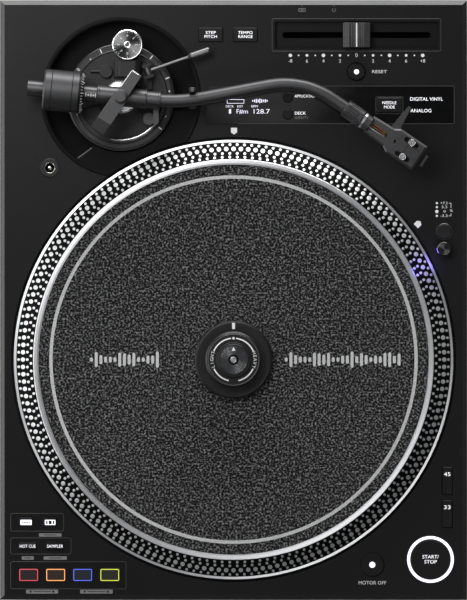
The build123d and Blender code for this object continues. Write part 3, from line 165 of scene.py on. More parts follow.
class Shader:
    """A Principled material and a few ways to vary it over the surface."""

    def __init__(self, name):
        self.material = bpy.data.materials.new(name)
        self.material.use_nodes = True
        self.tree = self.material.node_tree
        self.bsdf = self.tree.nodes["Principled BSDF"]
        self.coords = self.node("ShaderNodeTexCoord").outputs["Object"]

    def node(self, kind, **settings):
        made = self.tree.nodes.new(kind)
        for key, value in settings.items():
            setattr(made, key, value)
        return made

    def link(self, source, target):
        self.tree.links.new(source, target)

    def set(self, **values):
        """Constant inputs, by their socket names with underscores."""
        for key, value in values.items():
            self.bsdf.inputs[key.replace("_", " ")].default_value = value

    def math(self, operation, a, b=0.0):
        made = self.node("ShaderNodeMath", operation=operation)
        for socket, value in zip(made.inputs, (a, b)):
            if isinstance(value, (int, float)):
                socket.default_value = value
            else:
                self.link(value, socket)
        return made.outputs[0]

    def noise(self, size, stretch=(1, 1, 1), detail=3.0):
        """Noise whose features are about size mm across, longer where stretch is small."""
        mapping = self.node("ShaderNodeMapping")
        mapping.inputs["Scale"].default_value = stretch
        texture = self.node("ShaderNodeTexNoise")
        texture.inputs["Scale"].default_value = 1 / (size * MM)
        texture.inputs["Detail"].default_value = detail
        self.link(self.coords, mapping.inputs["Vector"])
        self.link(mapping.outputs["Vector"], texture.inputs["Vector"])
        return texture.outputs["Fac"]

    def radius(self, centre):
        """Distance from a vertical axis, in metres."""
        shift = self.node("ShaderNodeVectorMath", operation="SUBTRACT")
        shift.inputs[1].default_value = (centre[0] * MM, centre[1] * MM, 0)
        flat = self.node("ShaderNodeVectorMath", operation="MULTIPLY")
        flat.inputs[1].default_value = (1, 1, 0)
        length = self.node("ShaderNodeVectorMath", operation="LENGTH")
        self.link(self.coords, shift.inputs[0])
        self.link(shift.outputs[0], flat.inputs[0])
        self.link(flat.outputs[0], length.inputs[0])
        return length.outputs["Value"]

    def between(self, value, low, high):
        """1 where a length in metres lies between two in mm."""
        return self.math("MULTIPLY", self.math("GREATER_THAN", value, low * MM),
                         self.math("LESS_THAN", value, high * MM))

    def rings(self, reach, pitch):
        """Lathe rings about pitch mm apart, and highlights that fan out over them."""
        rings = self.node("ShaderNodeTexNoise", noise_dimensions="1D")
        rings.inputs["Scale"].default_value = 1 / (pitch * MM)
        self.link(reach, rings.inputs["W"])
        tangent = self.node("ShaderNodeTangent", direction_type="RADIAL", axis="Z")
        self.link(tangent.outputs["Tangent"], self.bsdf.inputs["Tangent"])
        return rings.outputs["Fac"]

    def ramp(self, value, low, high, out_low, out_high):
        made = self.node("ShaderNodeMapRange")
        for socket, number in zip(("From Min", "From Max", "To Min", "To Max"),
                                  (low, high, out_low, out_high)):
            made.inputs[socket].default_value = number
        self.link(value, made.inputs["Value"])
        return made.outputs["Result"]

    def mix(self, factor, a, b):
        """Colour a where factor is 0 and b where it is 1; either may be a socket."""
        made = self.node("ShaderNodeMix", data_type="RGBA")
        self.link(factor, made.inputs["Factor"])
        for socket, value in ((made.inputs[6], a), (made.inputs[7], b)):
            if isinstance(value, tuple):
                socket.default_value = (*value, 1)
            else:
                self.link(value, socket)
        return made.outputs[2]

    def bump(self, height, depth, strength=1.0):
        made = self.node("ShaderNodeBump")
        made.inputs["Distance"].default_value = depth * MM
        made.inputs["Strength"].default_value = strength
        self.link(height, made.inputs["Height"])
        self.link(made.outputs["Normal"], self.bsdf.inputs["Normal"])


def shade(colour, factor):
    return tuple(min(channel * factor, 1.0) for channel in colour)


def finish(name, colour, rough, metal=0.0, grain=0.6, depth=0.01, vary=0.12, stretch=(1, 1, 1),
           edges=None, **constants):
    """A paint, plastic or metal with fine grain, slow colour drift and uneven gloss.

    edges is the specular level of sloped faces, worn glossier, and of level ones."""
    s = Shader(name)
    fine = s.noise(grain, stretch)
    slow = s.noise(35, detail=2.0)
    s.link(s.mix(slow, shade(colour, 1 - vary), shade(colour, 1 + vary)), s.bsdf.inputs["Base Color"])
    gloss = s.math("ADD", s.math("MULTIPLY", fine, 0.14), s.math("MULTIPLY", slow, 0.08))
    s.link(s.math("ADD", gloss, rough - 0.11), s.bsdf.inputs["Roughness"])
    s.bump(fine, depth)
    if edges:
        parts = s.node("ShaderNodeSeparateXYZ")
        s.link(s.node("ShaderNodeNewGeometry").outputs["Normal"], parts.inputs[0])
        sloped = s.math("MULTIPLY", s.math("GREATER_THAN", parts.outputs["Z"], 0.3),
                        s.math("LESS_THAN", parts.outputs["Z"], 0.95))
        s.link(s.ramp(sloped, 1, 0, *edges), s.bsdf.inputs["Specular IOR Level"])
    s.set(Metallic=metal, **constants)
    return s.material


def turned(name, colour, rough, centre, depth=0.004, anisotropic=0.75):
    """Metal faced on a lathe about a vertical axis: fine rings that fan out the highlights."""
    s = Shader(name)
    rings = s.rings(s.radius(centre), 0.35)
    s.link(s.mix(rings, shade(colour, 0.85), shade(colour, 1.12)), s.bsdf.inputs["Base Color"])
    s.link(s.ramp(rings, 0.3, 0.7, rough * 0.8, rough * 1.2), s.bsdf.inputs["Roughness"])
    s.bump(rings, depth)
    s.set(Metallic=1.0, Anisotropic=anisotropic, Anisotropic_Rotation=0.25)
    return s.material


def lit(name, colour, strength):
    """A lens or legend lit from behind, slightly uneven like a real light guide."""
    s = Shader(name)
    glow = s.mix(s.noise(0.5), shade(colour, 0.92), shade(colour, 1.0))
    s.link(glow, s.bsdf.inputs["Base Color"])
    s.link(glow, s.bsdf.inputs["Emission Color"])
    s.set(Emission_Strength=strength, Roughness=0.4)
    return s.material


def felt(ring_low, ring_high):
    """Dark speckled felt with a pale printed ring."""
    s = Shader("felt")
    fibre = s.noise(1.5, detail=1.5)
    clump = s.noise(3.2, detail=1.5)
    speck = s.math("MULTIPLY", s.ramp(fibre, 0.47, 0.65, 0.0, 1.0), s.ramp(clump, 0.36, 0.64, 0.4, 1.0))
    ground = s.mix(speck, (0.002, 0.002, 0.002), (0.22, 0.22, 0.22))
    ring = s.between(s.radius(PLATTER), ring_low, ring_high)
    ink = s.mix(s.ramp(fibre, 0.3, 0.7, 0.0, 1.0), (0.42, 0.42, 0.42), (0.58, 0.58, 0.58))
    s.link(s.mix(ring, ground, ink), s.bsdf.inputs["Base Color"])
    s.bump(clump, 0.25, 0.6)
    s.set(Roughness=0.95, Sheen_Weight=0.15, Sheen_Roughness=0.5, Specular_IOR_Level=0.2)
    return s.material


def platter_metal(band_in, band_out):
    """Turned aluminium with a black band between two radii."""
    s = Shader("platter_metal")
    reach = s.radius(PLATTER)
    band = s.between(reach, band_in, band_out)
    rings = s.rings(reach, 0.25)
    metal = s.mix(rings, (0.78, 0.78, 0.80), (0.95, 0.95, 0.96))
    s.link(s.mix(band, metal, (0.004, 0.004, 0.004)), s.bsdf.inputs["Base Color"])
    s.link(s.math("SUBTRACT", 1.0, band), s.bsdf.inputs["Metallic"])
    s.link(s.ramp(band, 0, 1, 0.40, 0.45), s.bsdf.inputs["Roughness"])
    s.bump(rings, 0.002)
    s.link(s.ramp(band, 0, 1, 0.5, 0.03), s.bsdf.inputs["Specular IOR Level"])
    s.set(Anisotropic=0.7, Anisotropic_Rotation=0.25)
    return s.material


DECK_PAINT = finish("deck_paint", (0.0030, 0.0030, 0.0032), 0.42, grain=0.35, depth=0.004, edges=(0.62, 0.2))
PLINTH_PLASTIC = finish("plinth_plastic", (0.009, 0.009, 0.0095), 0.6, grain=0.5, depth=0.05,
                        Specular_IOR_Level=0.3)
RUBBER = finish("rubber", (0.013, 0.013, 0.013), 0.8, grain=0.9, depth=0.04, vary=0.25)
BEZEL = finish("bezel_plastic", (0.004, 0.004, 0.0042), 0.45, grain=0.3, depth=0.006, Specular_IOR_Level=0.15)
KNOB = finish("knob_plastic", (0.008, 0.008, 0.0083), 0.38, grain=0.3, depth=0.006, Specular_IOR_Level=0.3)
KEY = finish("key_plastic", (0.004, 0.004, 0.0042), 0.42, grain=0.3, depth=0.006, Specular_IOR_Level=0.2)
WINDOW = finish("display_window", (0.0008, 0.0008, 0.001), 0.13, grain=8, depth=0.0, vary=0.2)
WELL = finish("well_plastic", (0.0018, 0.0018, 0.0019), 0.5, grain=0.4, depth=0.01, Specular_IOR_Level=0.10)
BASE = finish("base_metal", (0.018, 0.018, 0.0185), 0.45, metal=0.5, grain=0.3, depth=0.008)
RING = finish("ring_metal", (0.024, 0.024, 0.0245), 0.45, metal=0.5, grain=0.3, depth=0.008)
ARM_METAL = finish("arm_metal", (0.068, 0.068, 0.070), 0.40, metal=0.85, grain=0.25, depth=0.004)
TUBE_METAL = finish("tube_metal", (0.068, 0.068, 0.070), 0.46, metal=0.9, grain=0.2, depth=0.003)
SHELL_METAL = finish("shell_metal", (0.055, 0.055, 0.057), 0.42, metal=0.7, grain=0.3, depth=0.006)
WEIGHT_METAL = finish("weight_metal", (0.062, 0.062, 0.064), 0.46, metal=0.85, grain=0.15,
                      depth=0.005, stretch=(1, 0.05, 0.05))
LIFTER_METAL = finish("lifter_metal", (0.06, 0.06, 0.061), 0.4, metal=0.7, grain=0.3, depth=0.006)
CHROME = finish("chrome", (0.85, 0.85, 0.86), 0.26, metal=1.0, grain=0.5, depth=0.001)
STEEL = finish("steel", (0.45, 0.45, 0.47), 0.35, metal=1.0, grain=0.3, depth=0.006)
BRASS = finish("brass", (0.62, 0.42, 0.16), 0.3, metal=1.0, grain=0.3, depth=0.004)
NICKEL = finish("nickel", (0.62, 0.60, 0.56), 0.25, metal=1.0, grain=0.3, depth=0.002)
LEVER_METAL = finish("edge_metal", (0.13, 0.13, 0.132), 0.30, metal=0.9, grain=0.3, depth=0.003)
# dark metal for real rims, also used lighter than its surroundings as painted edge highlights
DARK_METAL_AND_HIGHLIGHT = finish("dark_metal_and_painted_highlight", (0.09, 0.09, 0.092), 0.35, metal=0.8, grain=0.3, depth=0.003)
# a gray for thin lines round the inlays and the display: painted edge highlights
EDGE_HIGHLIGHT_GRAY = finish("painted_edge_highlight", (0.030, 0.030, 0.031), 0.4, grain=0.3, depth=0.003)
# black for printed marks, also used as painted shade in grooves and recesses
BLACK_INK_AND_SHADE = finish("black_ink_and_painted_shade", (0.002, 0.002, 0.002), 0.9, grain=0.5, depth=0.01)
INK = finish("white_ink", (0.80, 0.80, 0.80), 0.55, grain=0.2, depth=0.004, vary=0.03)
GRAY_INK = finish("gray_ink", (0.20, 0.20, 0.20), 0.55, grain=0.2, depth=0.004, vary=0.05)
FELT_INK = finish("felt_ink", (0.56, 0.56, 0.56), 0.9, grain=0.5, depth=0.08, vary=0.06)
LIT_WHITE = lit("lit_white", (0.90, 0.90, 1.0), 0.9)
LIT_TEXT = lit("lit_text", (0.92, 0.92, 0.96), 0.75)
SCREEN_TEXT = lit("screen_text", (0.80, 0.76, 0.90), 0.75)

# ---- shapes -----------------------------------------------------------------------------


def rounded(width, depth, corner, steps=5):
    """Outline of a rounded rectangle about the origin, counterclockwise."""
    points = []
    for k, (sx, sy) in enumerate(((1, 1), (-1, 1), (-1, -1), (1, -1))):
        for step in range(steps + 1):
            angle = math.radians(90 * k + 90 * step / steps)
            points.append((sx * (width / 2 - corner) + corner * math.cos(angle),
                           sy * (depth / 2 - corner) + corner * math.sin(angle)))
    return points


def circle(radius, steps=48):
    return [(radius * math.cos(2 * math.pi * k / steps), radius * math.sin(2 * math.pi * k / steps))
            for k in range(steps)]


CAPITALS = 0.70                         # height of a capital at text size 1


class Build:
    """Collects shapes in mm, then makes one piece of them."""

    def __init__(self, name, material, body, slot):
        self.name, self.material, self.body, self.slot = name, material, body, slot
        self.bm = bmesh.new()
        self.place = Matrix.Identity(4)

    def vertex(self, x, y, z):
        return self.bm.verts.new((self.place @ Vector((x, y, z))) * MM)

    def loops(self, rings, cap_ends=True, closed=False):
        """Skins a list of equally long rings of points."""
        made = [[self.vertex(*point) for point in ring] for ring in rings]
        count = len(made[0])
        pairs = list(zip(made, made[1:])) + ([(made[-1], made[0])] if closed else [])
        for a, b in pairs:
            for k in range(count):
                n = (k + 1) % count
                self.bm.faces.new((a[k], a[n], b[n], b[k]))
        if cap_ends and not closed:
            self.bm.faces.new(reversed(made[0]))
            self.bm.faces.new(made[-1])

    def plate(self, outline, low, high, at=(0, 0), turn=0.0, chamfer=0.0):
        """A flat prism, with an optional chamfer round its top edge."""
        c, s = math.cos(math.radians(turn)), math.sin(math.radians(turn))

        def moved(points, z):
            return [(at[0] + x * c - y * s, at[1] + x * s + y * c, z) for x, y in points]

        rings = [moved(outline, low), moved(outline, high - chamfer)]
        if chamfer:
            reach = max(max(abs(x), abs(y)) for x, y in outline)
            factor = 1 - chamfer / reach
            rings.append(moved([(x * factor, y * factor) for x, y in outline], high))
        self.loops(rings)

    def frame(self, outer, inner, low, high, at=(0, 0)):
        """A closed ring of rectangular section between two outlines with as many points."""
        def ring(points, z):
            return [(at[0] + x, at[1] + y, z) for x, y in points]
        self.loops([ring(outer, low), ring(outer, high), ring(inner, high), ring(inner, low)],
                   closed=True)

    def lathe(self, profile, at=(0, 0, 0), steps=96, closed=False, sweep=360.0, start=0.0):
        """Turns (radius, height) points about the local Z axis."""
        whole = abs(sweep - 360.0) < 1e-6
        count = steps if whole else steps + 1
        angles = [math.radians(start + sweep * k / steps) for k in range(count)]
        columns = [[self.vertex(at[0] + r * math.cos(a), at[1] + r * math.sin(a), at[2] + z)
                    for r, z in profile] for a in angles]
        pairs = list(zip(columns, columns[1:])) + ([(columns[-1], columns[0])] if whole else [])
        rows = len(profile)
        for a, b in pairs:
            for k in range(rows if closed else rows - 1):
                n = (k + 1) % rows
                self.bm.faces.new((a[k], b[k], b[n], a[n]))
        if not whole and closed:
            self.bm.faces.new(columns[0])
            self.bm.faces.new(reversed(columns[-1]))

    def tube(self, points, radius, steps=12):
        """A round tube along points, with closed ends."""
        points = [Vector(point) for point in points]
        rings = []
        for k, point in enumerate(points):
            ahead = (points[min(k + 1, len(points) - 1)] - points[max(k - 1, 0)]).normalized()
            side = ahead.cross(Vector((0, 0, 1)))
            side = side.normalized() if side.length > 1e-6 else Vector((1, 0, 0))
            up = side.cross(ahead)
            rings.append([point + side * (radius * math.cos(2 * math.pi * s / steps))
                          + up * (radius * math.sin(2 * math.pi * s / steps))
                          for s in range(steps)])
        self.loops(rings)

    def text(self, body, at, height, low, high, turn=0.0, width=None):
        """Flat lettering whose capitals are height mm tall, from low to high, fitted to a width."""
        curve = bpy.data.curves.new(self.name + "_text", "FONT")
        curve.body, curve.align_x, curve.align_y = body, "CENTER", "CENTER"
        curve.size, curve.extrude = 1.0, 0.5
        curve.resolution_u = 3
        holder = bpy.data.objects.new(self.name + "_text", curve)
        mesh = bpy.data.meshes.new_from_object(holder)
        scale = height / CAPITALS
        across = [vertex.co.x for vertex in mesh.vertices]
        stretch = width / (max(across) - min(across)) if width else scale
        fit = (Matrix.Translation((*at, (low + high) / 2)) @ Matrix.Rotation(math.radians(turn), 4, "Z")
               @ Matrix.Diagonal((stretch, scale, high - low, 1)))
        mesh.transform(Matrix.Scale(MM, 4) @ self.place @ fit)
        self.bm.from_mesh(mesh)
        bpy.data.objects.remove(holder)
        bpy.data.curves.remove(curve)
        bpy.data.meshes.remove(mesh)

    def done(self, smooth=30.0, bevel=0.0):
        bmesh.ops.remove_doubles(self.bm, verts=self.bm.verts, dist=1e-7)
        bmesh.ops.recalc_face_normals(self.bm, faces=self.bm.faces)
        mesh = bpy.data.meshes.new(self.name)
        self.bm.to_mesh(mesh)
        self.bm.free()
        mesh.materials.append(self.material)
        mesh.shade_smooth()
        mesh.set_sharp_from_angle(angle=math.radians(smooth))
        piece = bpy.data.objects.new(self.name, mesh)
        bpy.context.scene.collection.objects.link(piece)
        if bevel:
            modifier = piece.modifiers.new("bevel", "BEVEL")
            modifier.width, modifier.segments, modifier.limit_method = bevel * MM, 2, "ANGLE"
        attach(piece, self.body)
        return piece


def turned_piece(name, material, body, slot, profile, at, **settings):
    """A piece made by one turning of a closed section."""
    piece = Build(name, material, body, slot)
    piece.lathe(profile, at, closed=True, **settings)
    piece.done()


# ---- finishes of the CAD parts ----------------------------------------------------------
BAND_IN, BAND_OUT = 151.25, PLATTER_R - 1.9
PLATTER_METAL = platter_metal(BAND_IN, BAND_OUT)


def paint(node, material):
    NODES[node].data.materials.clear()
    NODES[node].data.materials.append(material)


CAD_FINISH = {
    DECK_PAINT: ["top_deck"], PLINTH_PLASTIC: ["plinth"], RUBBER: ["bottom_cover", "feet"],
    STEEL: ["cover_screws", "motor_stator", "rotor_magnet", "spindle"],
    BEZEL: ["deck_bezels", "counterweight_core", "tracking_dial", "power_switch", "rear_sockets"],
    KNOB: ["clamp_base", "clamp_knob", "cartridge", "stylus", "pitch_slider", "target_light",
           "shell_stand"],
    WINDOW: ["display_panel"], LIT_WHITE: ["start_ring"], BRASS: ["spindle_bearing"],
    WELL: ["tonearm_well"], PLATTER_METAL: ["platter"], BASE: ["arm_base", "arm_rest", "lock_lever"],
    RING: ["height_ring"], LIFTER_METAL: ["lifter"], LEVER_METAL: ["cue_lever", "arm_clamp"],
    CHROME: ["headshell_screws"],
    ARM_METAL: ["gimbal_yoke", "pivot_housing", "locking_nut"], TUBE_METAL: ["arm_tube"],
    SHELL_METAL: ["headshell"], WEIGHT_METAL: ["counterweight"],
}
CAD_FINISH[KEY] = [name for name in NODES if name.startswith(("key_", "pad_"))]
for material, names in CAD_FINISH.items():
    for name in names:
        paint(name, material)
for node in ("strobe_lamp", "anti_skate_knob"):
    paint(node, turned(node + "_metal", (0.11, 0.11, 0.112), 0.22, spot(node), anisotropic=0.95))

# ---- platter: strobe dots ---------------------------------------------------------------
PRINT = 0.08                            # thickness of printing
SUNK = 0.04                             # how far printing reaches into what carries it
SLOPE_LOW, SLOPE_HIGH = (PLATTER_R - 1.9, 105.0), (151.3, 118.7)
DOT_ROWS = [(153.0, 168, 1.05, 0.5), (155.8, 174, 1.05, 0), (159.2, 180, 1.7, 0), (162.5, 186, 1.05, 0)]
dots = Build("strobe_dots", None, "platter", "platter_metal")
slope = (SLOPE_HIGH[1] - SLOPE_LOW[1]) / (SLOPE_LOW[0] - SLOPE_HIGH[0])
for row_r, count, dot_r, phase in DOT_ROWS:
    for k in range(count):
        angle = 2 * math.pi * (k + phase) / count
        centre = PLATTER + Vector((row_r * math.cos(angle), row_r * math.sin(angle), 0))
        rings = []
        for size, lift in ((1.0, -0.3), (1.0, 0.02), (0.8, 0.12)):
            ring = []
            for s in range(14):
                x = centre.x + size * dot_r * math.cos(2 * math.pi * s / 14)
                y = centre.y + size * dot_r * math.sin(2 * math.pi * s / 14)
                reach = math.hypot(x - PLATTER.x, y - PLATTER.y)
                ring.append((x, y, SLOPE_LOW[1] + (SLOPE_LOW[0] - reach) * slope + lift))
            rings.append(ring)
        dots.loops(rings)
dots.material = finish("strobe_dot_metal", (0.62, 0.62, 0.63), 0.45, metal=0.5, grain=0.3, depth=0.002,
                       vary=0.08)
dots.done()

# ---- slipmat: felt with a printed ring and two plain figures ------------------------------
FELT_RINGS, FELT_COLUMNS = 120, 620
hole = (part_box("spindle")[1].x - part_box("spindle")[0].x) / 2 / MM
mat = Build("slipmat_felt", felt(136.6, 139.1), "slipmat", "felt")
mat.place = Matrix.Translation(PLATTER)
profile = [(MAT_R - 0.1, MAT_LOW + 0.02)]
profile += [(MAT_R, MAT_LOW + 0.3), (MAT_R, MAT_TOP - 0.45), (MAT_R - 0.35, MAT_TOP - 0.12)]
for k in range(FELT_RINGS + 1):
    profile.append((hole + 0.6 + (MAT_R - 0.8 - hole - 0.6) * (1 - k / FELT_RINGS), MAT_TOP - 0.1))
profile += [(hole + 0.3, MAT_TOP - 0.3), (hole + 0.3, MAT_LOW + 0.02)]
mat.lathe(profile, steps=FELT_COLUMNS, closed=True)
for vertex in mat.bm.verts:
    if vertex.co.z > (MAT_TOP - 0.2) * MM:
        vertex.co.z += 0.09 * MM * noise.noise(vertex.co / (1.6 * MM))
felt_mat = mat.done(smooth=60)
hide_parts("slipmat")

figures = Build("slipmat_figures", FELT_INK, "slipmat", "felt")
figures.place = Matrix.Translation(PLATTER)
LEFT_FIGURE, RIGHT_FIGURE, FIGURE_HEIGHT, BAR_PITCH = (-109.0, -55.7), (38.0, 129.0), 12.6, 3.55
for low_x, high_x in (LEFT_FIGURE, RIGHT_FIGURE):
    count = int((high_x - low_x) / BAR_PITCH)
    for k in range(count):
        wave = abs(math.sin(k * 1.9) * math.cos(k * 0.43)) * 0.75 + 0.25
        x = low_x + BAR_PITCH * (k + 0.5)
        figures.plate(rounded(2.2, FIGURE_HEIGHT * wave, 1.05), MAT_TOP - 0.25, MAT_TOP + 0.04, (x, 0))
figures.done()

# ---- printing on the deck ---------------------------------------------------------------


def print_shape(piece, outline, x, y, top, turn=0.0):
    piece.plate(outline, top - SUNK, top + PRINT, (x, y), turn)


def print_text(piece, text, x, y, height, top, width=None, turn=0.0):
    piece.text(text, (x, y), height, top - SUNK, top + PRINT, turn, width=width)


def lettering(name, material, body, slot, top, *lines):
    """Printed or lit words: (text, x, y, capital height, width or None)."""
    piece = Build(name, material, body, slot)
    for text, x, y, height, width in lines:
        print_text(piece, text, x, y, height, top, width)
    piece.done()


FADER = spot("pitch_slider")
SCALE_Y, NUMBER_Y, SCALE_STEP = FADER[1] - 15.4, FADER[1] - 19.7, 6.25
scale = Build("pitch_scale", INK, "case", "deck_metal")
for k in range(-8, 9):
    x = FADER[0] + SCALE_STEP * k
    if k:
        size = 1.35 if k % 4 == 0 else 1.0 if k % 2 == 0 else 0.6
        print_shape(scale, circle(size, 20), x, SCALE_Y, DECK)
    if k % 2 == 0:
        label = {0: "0", 8: "+8", -8: "-8"}.get(k, str(abs(k)))
        print_text(scale, label, x, NUMBER_Y if k else SCALE_Y, 2.5 if k else 2.9, DECK)
scale.done()

RESET, MOTOR = spot("key_reset"), spot("key_motor_off")
STROBE, TARGET = spot("strobe_lamp"), spot("target_light")
lettering("deck_words", INK, "case", "deck_metal", DECK,
          ("RESET", RESET[0] + 17.2, RESET[1], 2.3, 11.3),
          ("MOTOR OFF", MOTOR[0], MOTOR[1] - 13.8, 2.6, 20.8))
lettering("strobe_values", INK, "case", "deck_metal", DECK,
          ("+7.2", STROBE[0] + 0.1, STROBE[1] + 34.4, 1.9, 5.4),
          ("3.3", STROBE[0] + 0.4, STROBE[1] + 31.4, 1.9, 4.2),
          ("0", STROBE[0] + 0.6, STROBE[1] + 28.1, 1.9, 1.6),
          ("-3.3", STROBE[0] + 0.1, STROBE[1] + 24.8, 1.9, 5.4),
          ("%", STROBE[0] + 5.6, STROBE[1] + 28.6, 2.0, 2.2))
legend = Build("strobe_legend", INK, "case", "deck_metal")
for lift, size in ((34.4, 0.85), (31.4, 0.85), (28.1, 1.3), (24.8, 0.85)):
    print_shape(legend, circle(size, 18), STROBE[0] - 5.3, STROBE[1] + lift, DECK)
for y, x, size in ((34.4, 4.6, (1.6, 0.4)), (24.8, 4.6, (1.6, 0.4)), (32.6, 5.4, (0.4, 4.0)),
                   (25.6, 5.4, (0.4, 2.0))):
    print_shape(legend, rounded(*size, 0.1), STROBE[0] + x, STROBE[1] + y, DECK)
legend.done()

POWER = spot("power_switch")
symbols = Build("rear_symbols", GRAY_INK, "case", "deck_metal")
SYMBOL_Y, PORT_X = CASE_D / 2 - 7.3, 51.8
for x in (PORT_X, POWER[0]):
    print_shape(symbols, rounded(0.35, 1.0, 0.1), x, SYMBOL_Y + 3.3, DECK)
symbols.frame(rounded(5.2, 2.6, 0.4), rounded(4.5, 1.9, 0.2), DECK - 0.04, DECK + PRINT, (PORT_X, SYMBOL_Y))
print_shape(symbols, rounded(2.4, 0.6, 0.1), PORT_X, SYMBOL_Y, DECK)
symbols.lathe([(1.05, -0.04), (1.35, -0.04), (1.35, PRINT), (1.05, PRINT)], (POWER[0], SYMBOL_Y, DECK), 24,
              closed=True, sweep=300, start=120)
symbols.done()

# white markers that show where the stylus and the strobe line up
SHIELD = [(-2.3, 2.5), (-2.3, -1.0), (0, -2.6), (2.3, -1.0), (2.3, 2.5)]
markers = Build("deck_markers", INK, "case", "deck_metal")
print_shape(markers, SHIELD, 0.4, 127.7, DECK)
print_shape(markers, SHIELD, 139.6, 57.6, DECK, turn=135)
markers.done()

# gray label bars with small dots, below the pads' inlays
PADS = [spot(f"pad_{k}") for k in range(1, 5)]
bars = Build("label_bars", GRAY_INK, "case", "deck_metal")
BARS = [((-147.0, -130.0), -177.6, 2.5), ((-160.0, -151.0), -195.0, 2.6), ((-143.5, -126.0), -195.0, 2.6),
        ((-156.8, -132.6), -220.4, 3.0), ((-115.9, -91.3), -220.4, 3.0)]
for (low_x, high_x), y, height in BARS:
    print_shape(bars, rounded(high_x - low_x, height, 0.5), (low_x + high_x) / 2, y, DECK)
bars.done()
bar_marks = Build("label_marks", BLACK_INK_AND_SHADE, "case", "deck_metal")
for (low_x, high_x), y, height in BARS:
    print_shape(bar_marks, rounded((high_x - low_x) * 0.55, 0.5, 0.1), (low_x + high_x) / 2, y, DECK + 0.05)
    if height > 2.8:
        for x in (low_x + 3.4, high_x - 3.6):
            print_shape(bar_marks, circle(0.85, 16), x, y, DECK + 0.05)
bar_marks.done()

# thin raised lines round the inlays and the fader's trough, a lighter gray than the deck: painted edge
# highlights
SHIFT, SAMPLER = spot("key_shift"), spot("key_mode_right")
INLAYS = [((SHIFT[0] + 8.4, SHIFT[1] - 0.5), (40.4, 13.8)),
          ((SAMPLER[0] - 10.7, SAMPLER[1] + 0.2), (46.1, 12.6)),
          ((PADS[0][0] + 30.0, PADS[0][1] - 0.3), (87.6, 21.0)), (FADER[:2], (128.0, 25.0))]
lines = Build("inlay_highlight_lines", EDGE_HIGHLIGHT_GRAY, "case", "bezel_plastic")
for centre, (width, depth) in INLAYS:
    lines.frame(rounded(width + 0.1, depth + 0.1, 1.6), rounded(width - 1.0, depth - 1.0, 1.1),
                DECK - 0.04, DECK + 0.36, centre)
lines.done(bevel=0.1)

# ---- push buttons -----------------------------------------------------------------------
KEY_TOP = spot("key_shift")[2]


def key_words(node, name, material, *lines):
    """Words on one button: (text, offset in y, capital height, width)."""
    x, y, top = spot(node)
    lettering(name, material, node, "key_plastic", top,
              *[(text, x, y + lift, height, width) for text, lift, height, width in lines])


key_words("key_step_pitch", "words_step", LIT_TEXT, ("STEP", 1.5, 2.2, 7.6), ("PITCH", -1.5, 2.2, 9.4))
key_words("key_tempo_range", "words_tempo", LIT_TEXT, ("TEMPO", 1.5, 2.2, 11.0), ("RANGE", -1.5, 2.2, 10.8))
key_words("key_needle_mode", "words_needle", LIT_TEXT, ("NEEDLE", 1.7, 2.2, 10.6), ("MODE", -1.6, 2.2, 8.2))
key_words("key_start_stop", "words_start", LIT_TEXT, ("START/", 1.9, 2.6, 12.4), ("STOP", -1.9, 2.6, 9.4))
key_words("key_speed_45", "words_45", LIT_TEXT, ("45", 4.9, 2.9, 5.0))
key_words("key_speed_33", "words_33", LIT_TEXT, ("33", 5.0, 2.9, 5.0))
key_words("key_mode_left", "words_mode_left", LIT_TEXT, ("HOT CUE", 0, 2.3, 12.0))
key_words("key_mode_right", "words_mode_right", LIT_TEXT, ("SAMPLER", 0, 2.3, 12.2))
for node, radius in (("key_reset", 1.9), ("key_motor_off", 2.3)):
    dot = Build(node + "_dot", LIT_WHITE, node, "lit_white")
    dot.plate(circle(radius, 32), KEY_TOP - 0.04, KEY_TOP + 0.12, spot(node)[:2], chamfer=0.1)
    dot.done()
for node in ("key_reset", "key_motor_off", "key_start_stop", "key_display_upper", "key_display_lower"):
    low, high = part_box(node)
    radius = (high.x - low.x) / 2 / MM
    rim = Build(node + "_rim", KEY, node, "key_plastic")
    rim.lathe([(radius - 1.5, -0.15), (radius - 1.3, 0.10), (radius - 0.75, 0.10), (radius - 0.6, -0.15)],
              (*spot(node)[:2], KEY_TOP), closed=True)
    rim.done()
for node, size in (("key_shift", (8.6, 3.9)), ("key_page", (8.0, 3.9))):
    x, y, top = spot(node)
    glow = Build(node + "_legend", LIT_WHITE, node, "lit_white")
    y -= 0.5
    glow.plate(rounded(*size, 0.5), top - 0.04, top + PRINT, (x, y))
    glow.done()
    icon = Build(node + "_icon", BLACK_INK_AND_SHADE, node, "key_plastic")
    if node == "key_shift":
        for k in range(5):
            print_shape(icon, rounded(0.75, 1.0, 0.1), x - 2.4 + 1.2 * k, y, top + PRINT - 0.02)
    else:
        for k, width in ((-1, 1.1), (0, 2.2), (1, 1.1)):
            print_shape(icon, rounded(width, 2.7, 0.4), x + 2.5 * k, y, top + PRINT - 0.02)
    icon.done()

PAD_COLOURS = {"red": (0.52, 0.06, 0.08), "orange": (0.85, 0.35, 0.11), "blue": (0.07, 0.12, 0.62),
               "yellow": (0.50, 0.56, 0.06)}
for (x, y, top), (tint, colour), node in zip(PADS, PAD_COLOURS.items(), ("pad_1", "pad_2", "pad_3", "pad_4")):
    outline = Build(node + "_outline", lit("lit_" + tint, colour, 1.0), node, "lit_white")
    outline.frame(rounded(14.1, 9.0, 0.9), rounded(12.9, 7.8, 0.5), top - 0.05, top + 0.1, (x, y))
    outline.done()
    face = Build(node + "_face", lit("glow_" + tint, shade(colour, 0.008), 1.0), node, "key_plastic")
    face.plate(rounded(12.9, 7.8, 0.5), top - 0.04, top + 0.05, (x, y), chamfer=0.05)
    face.done()

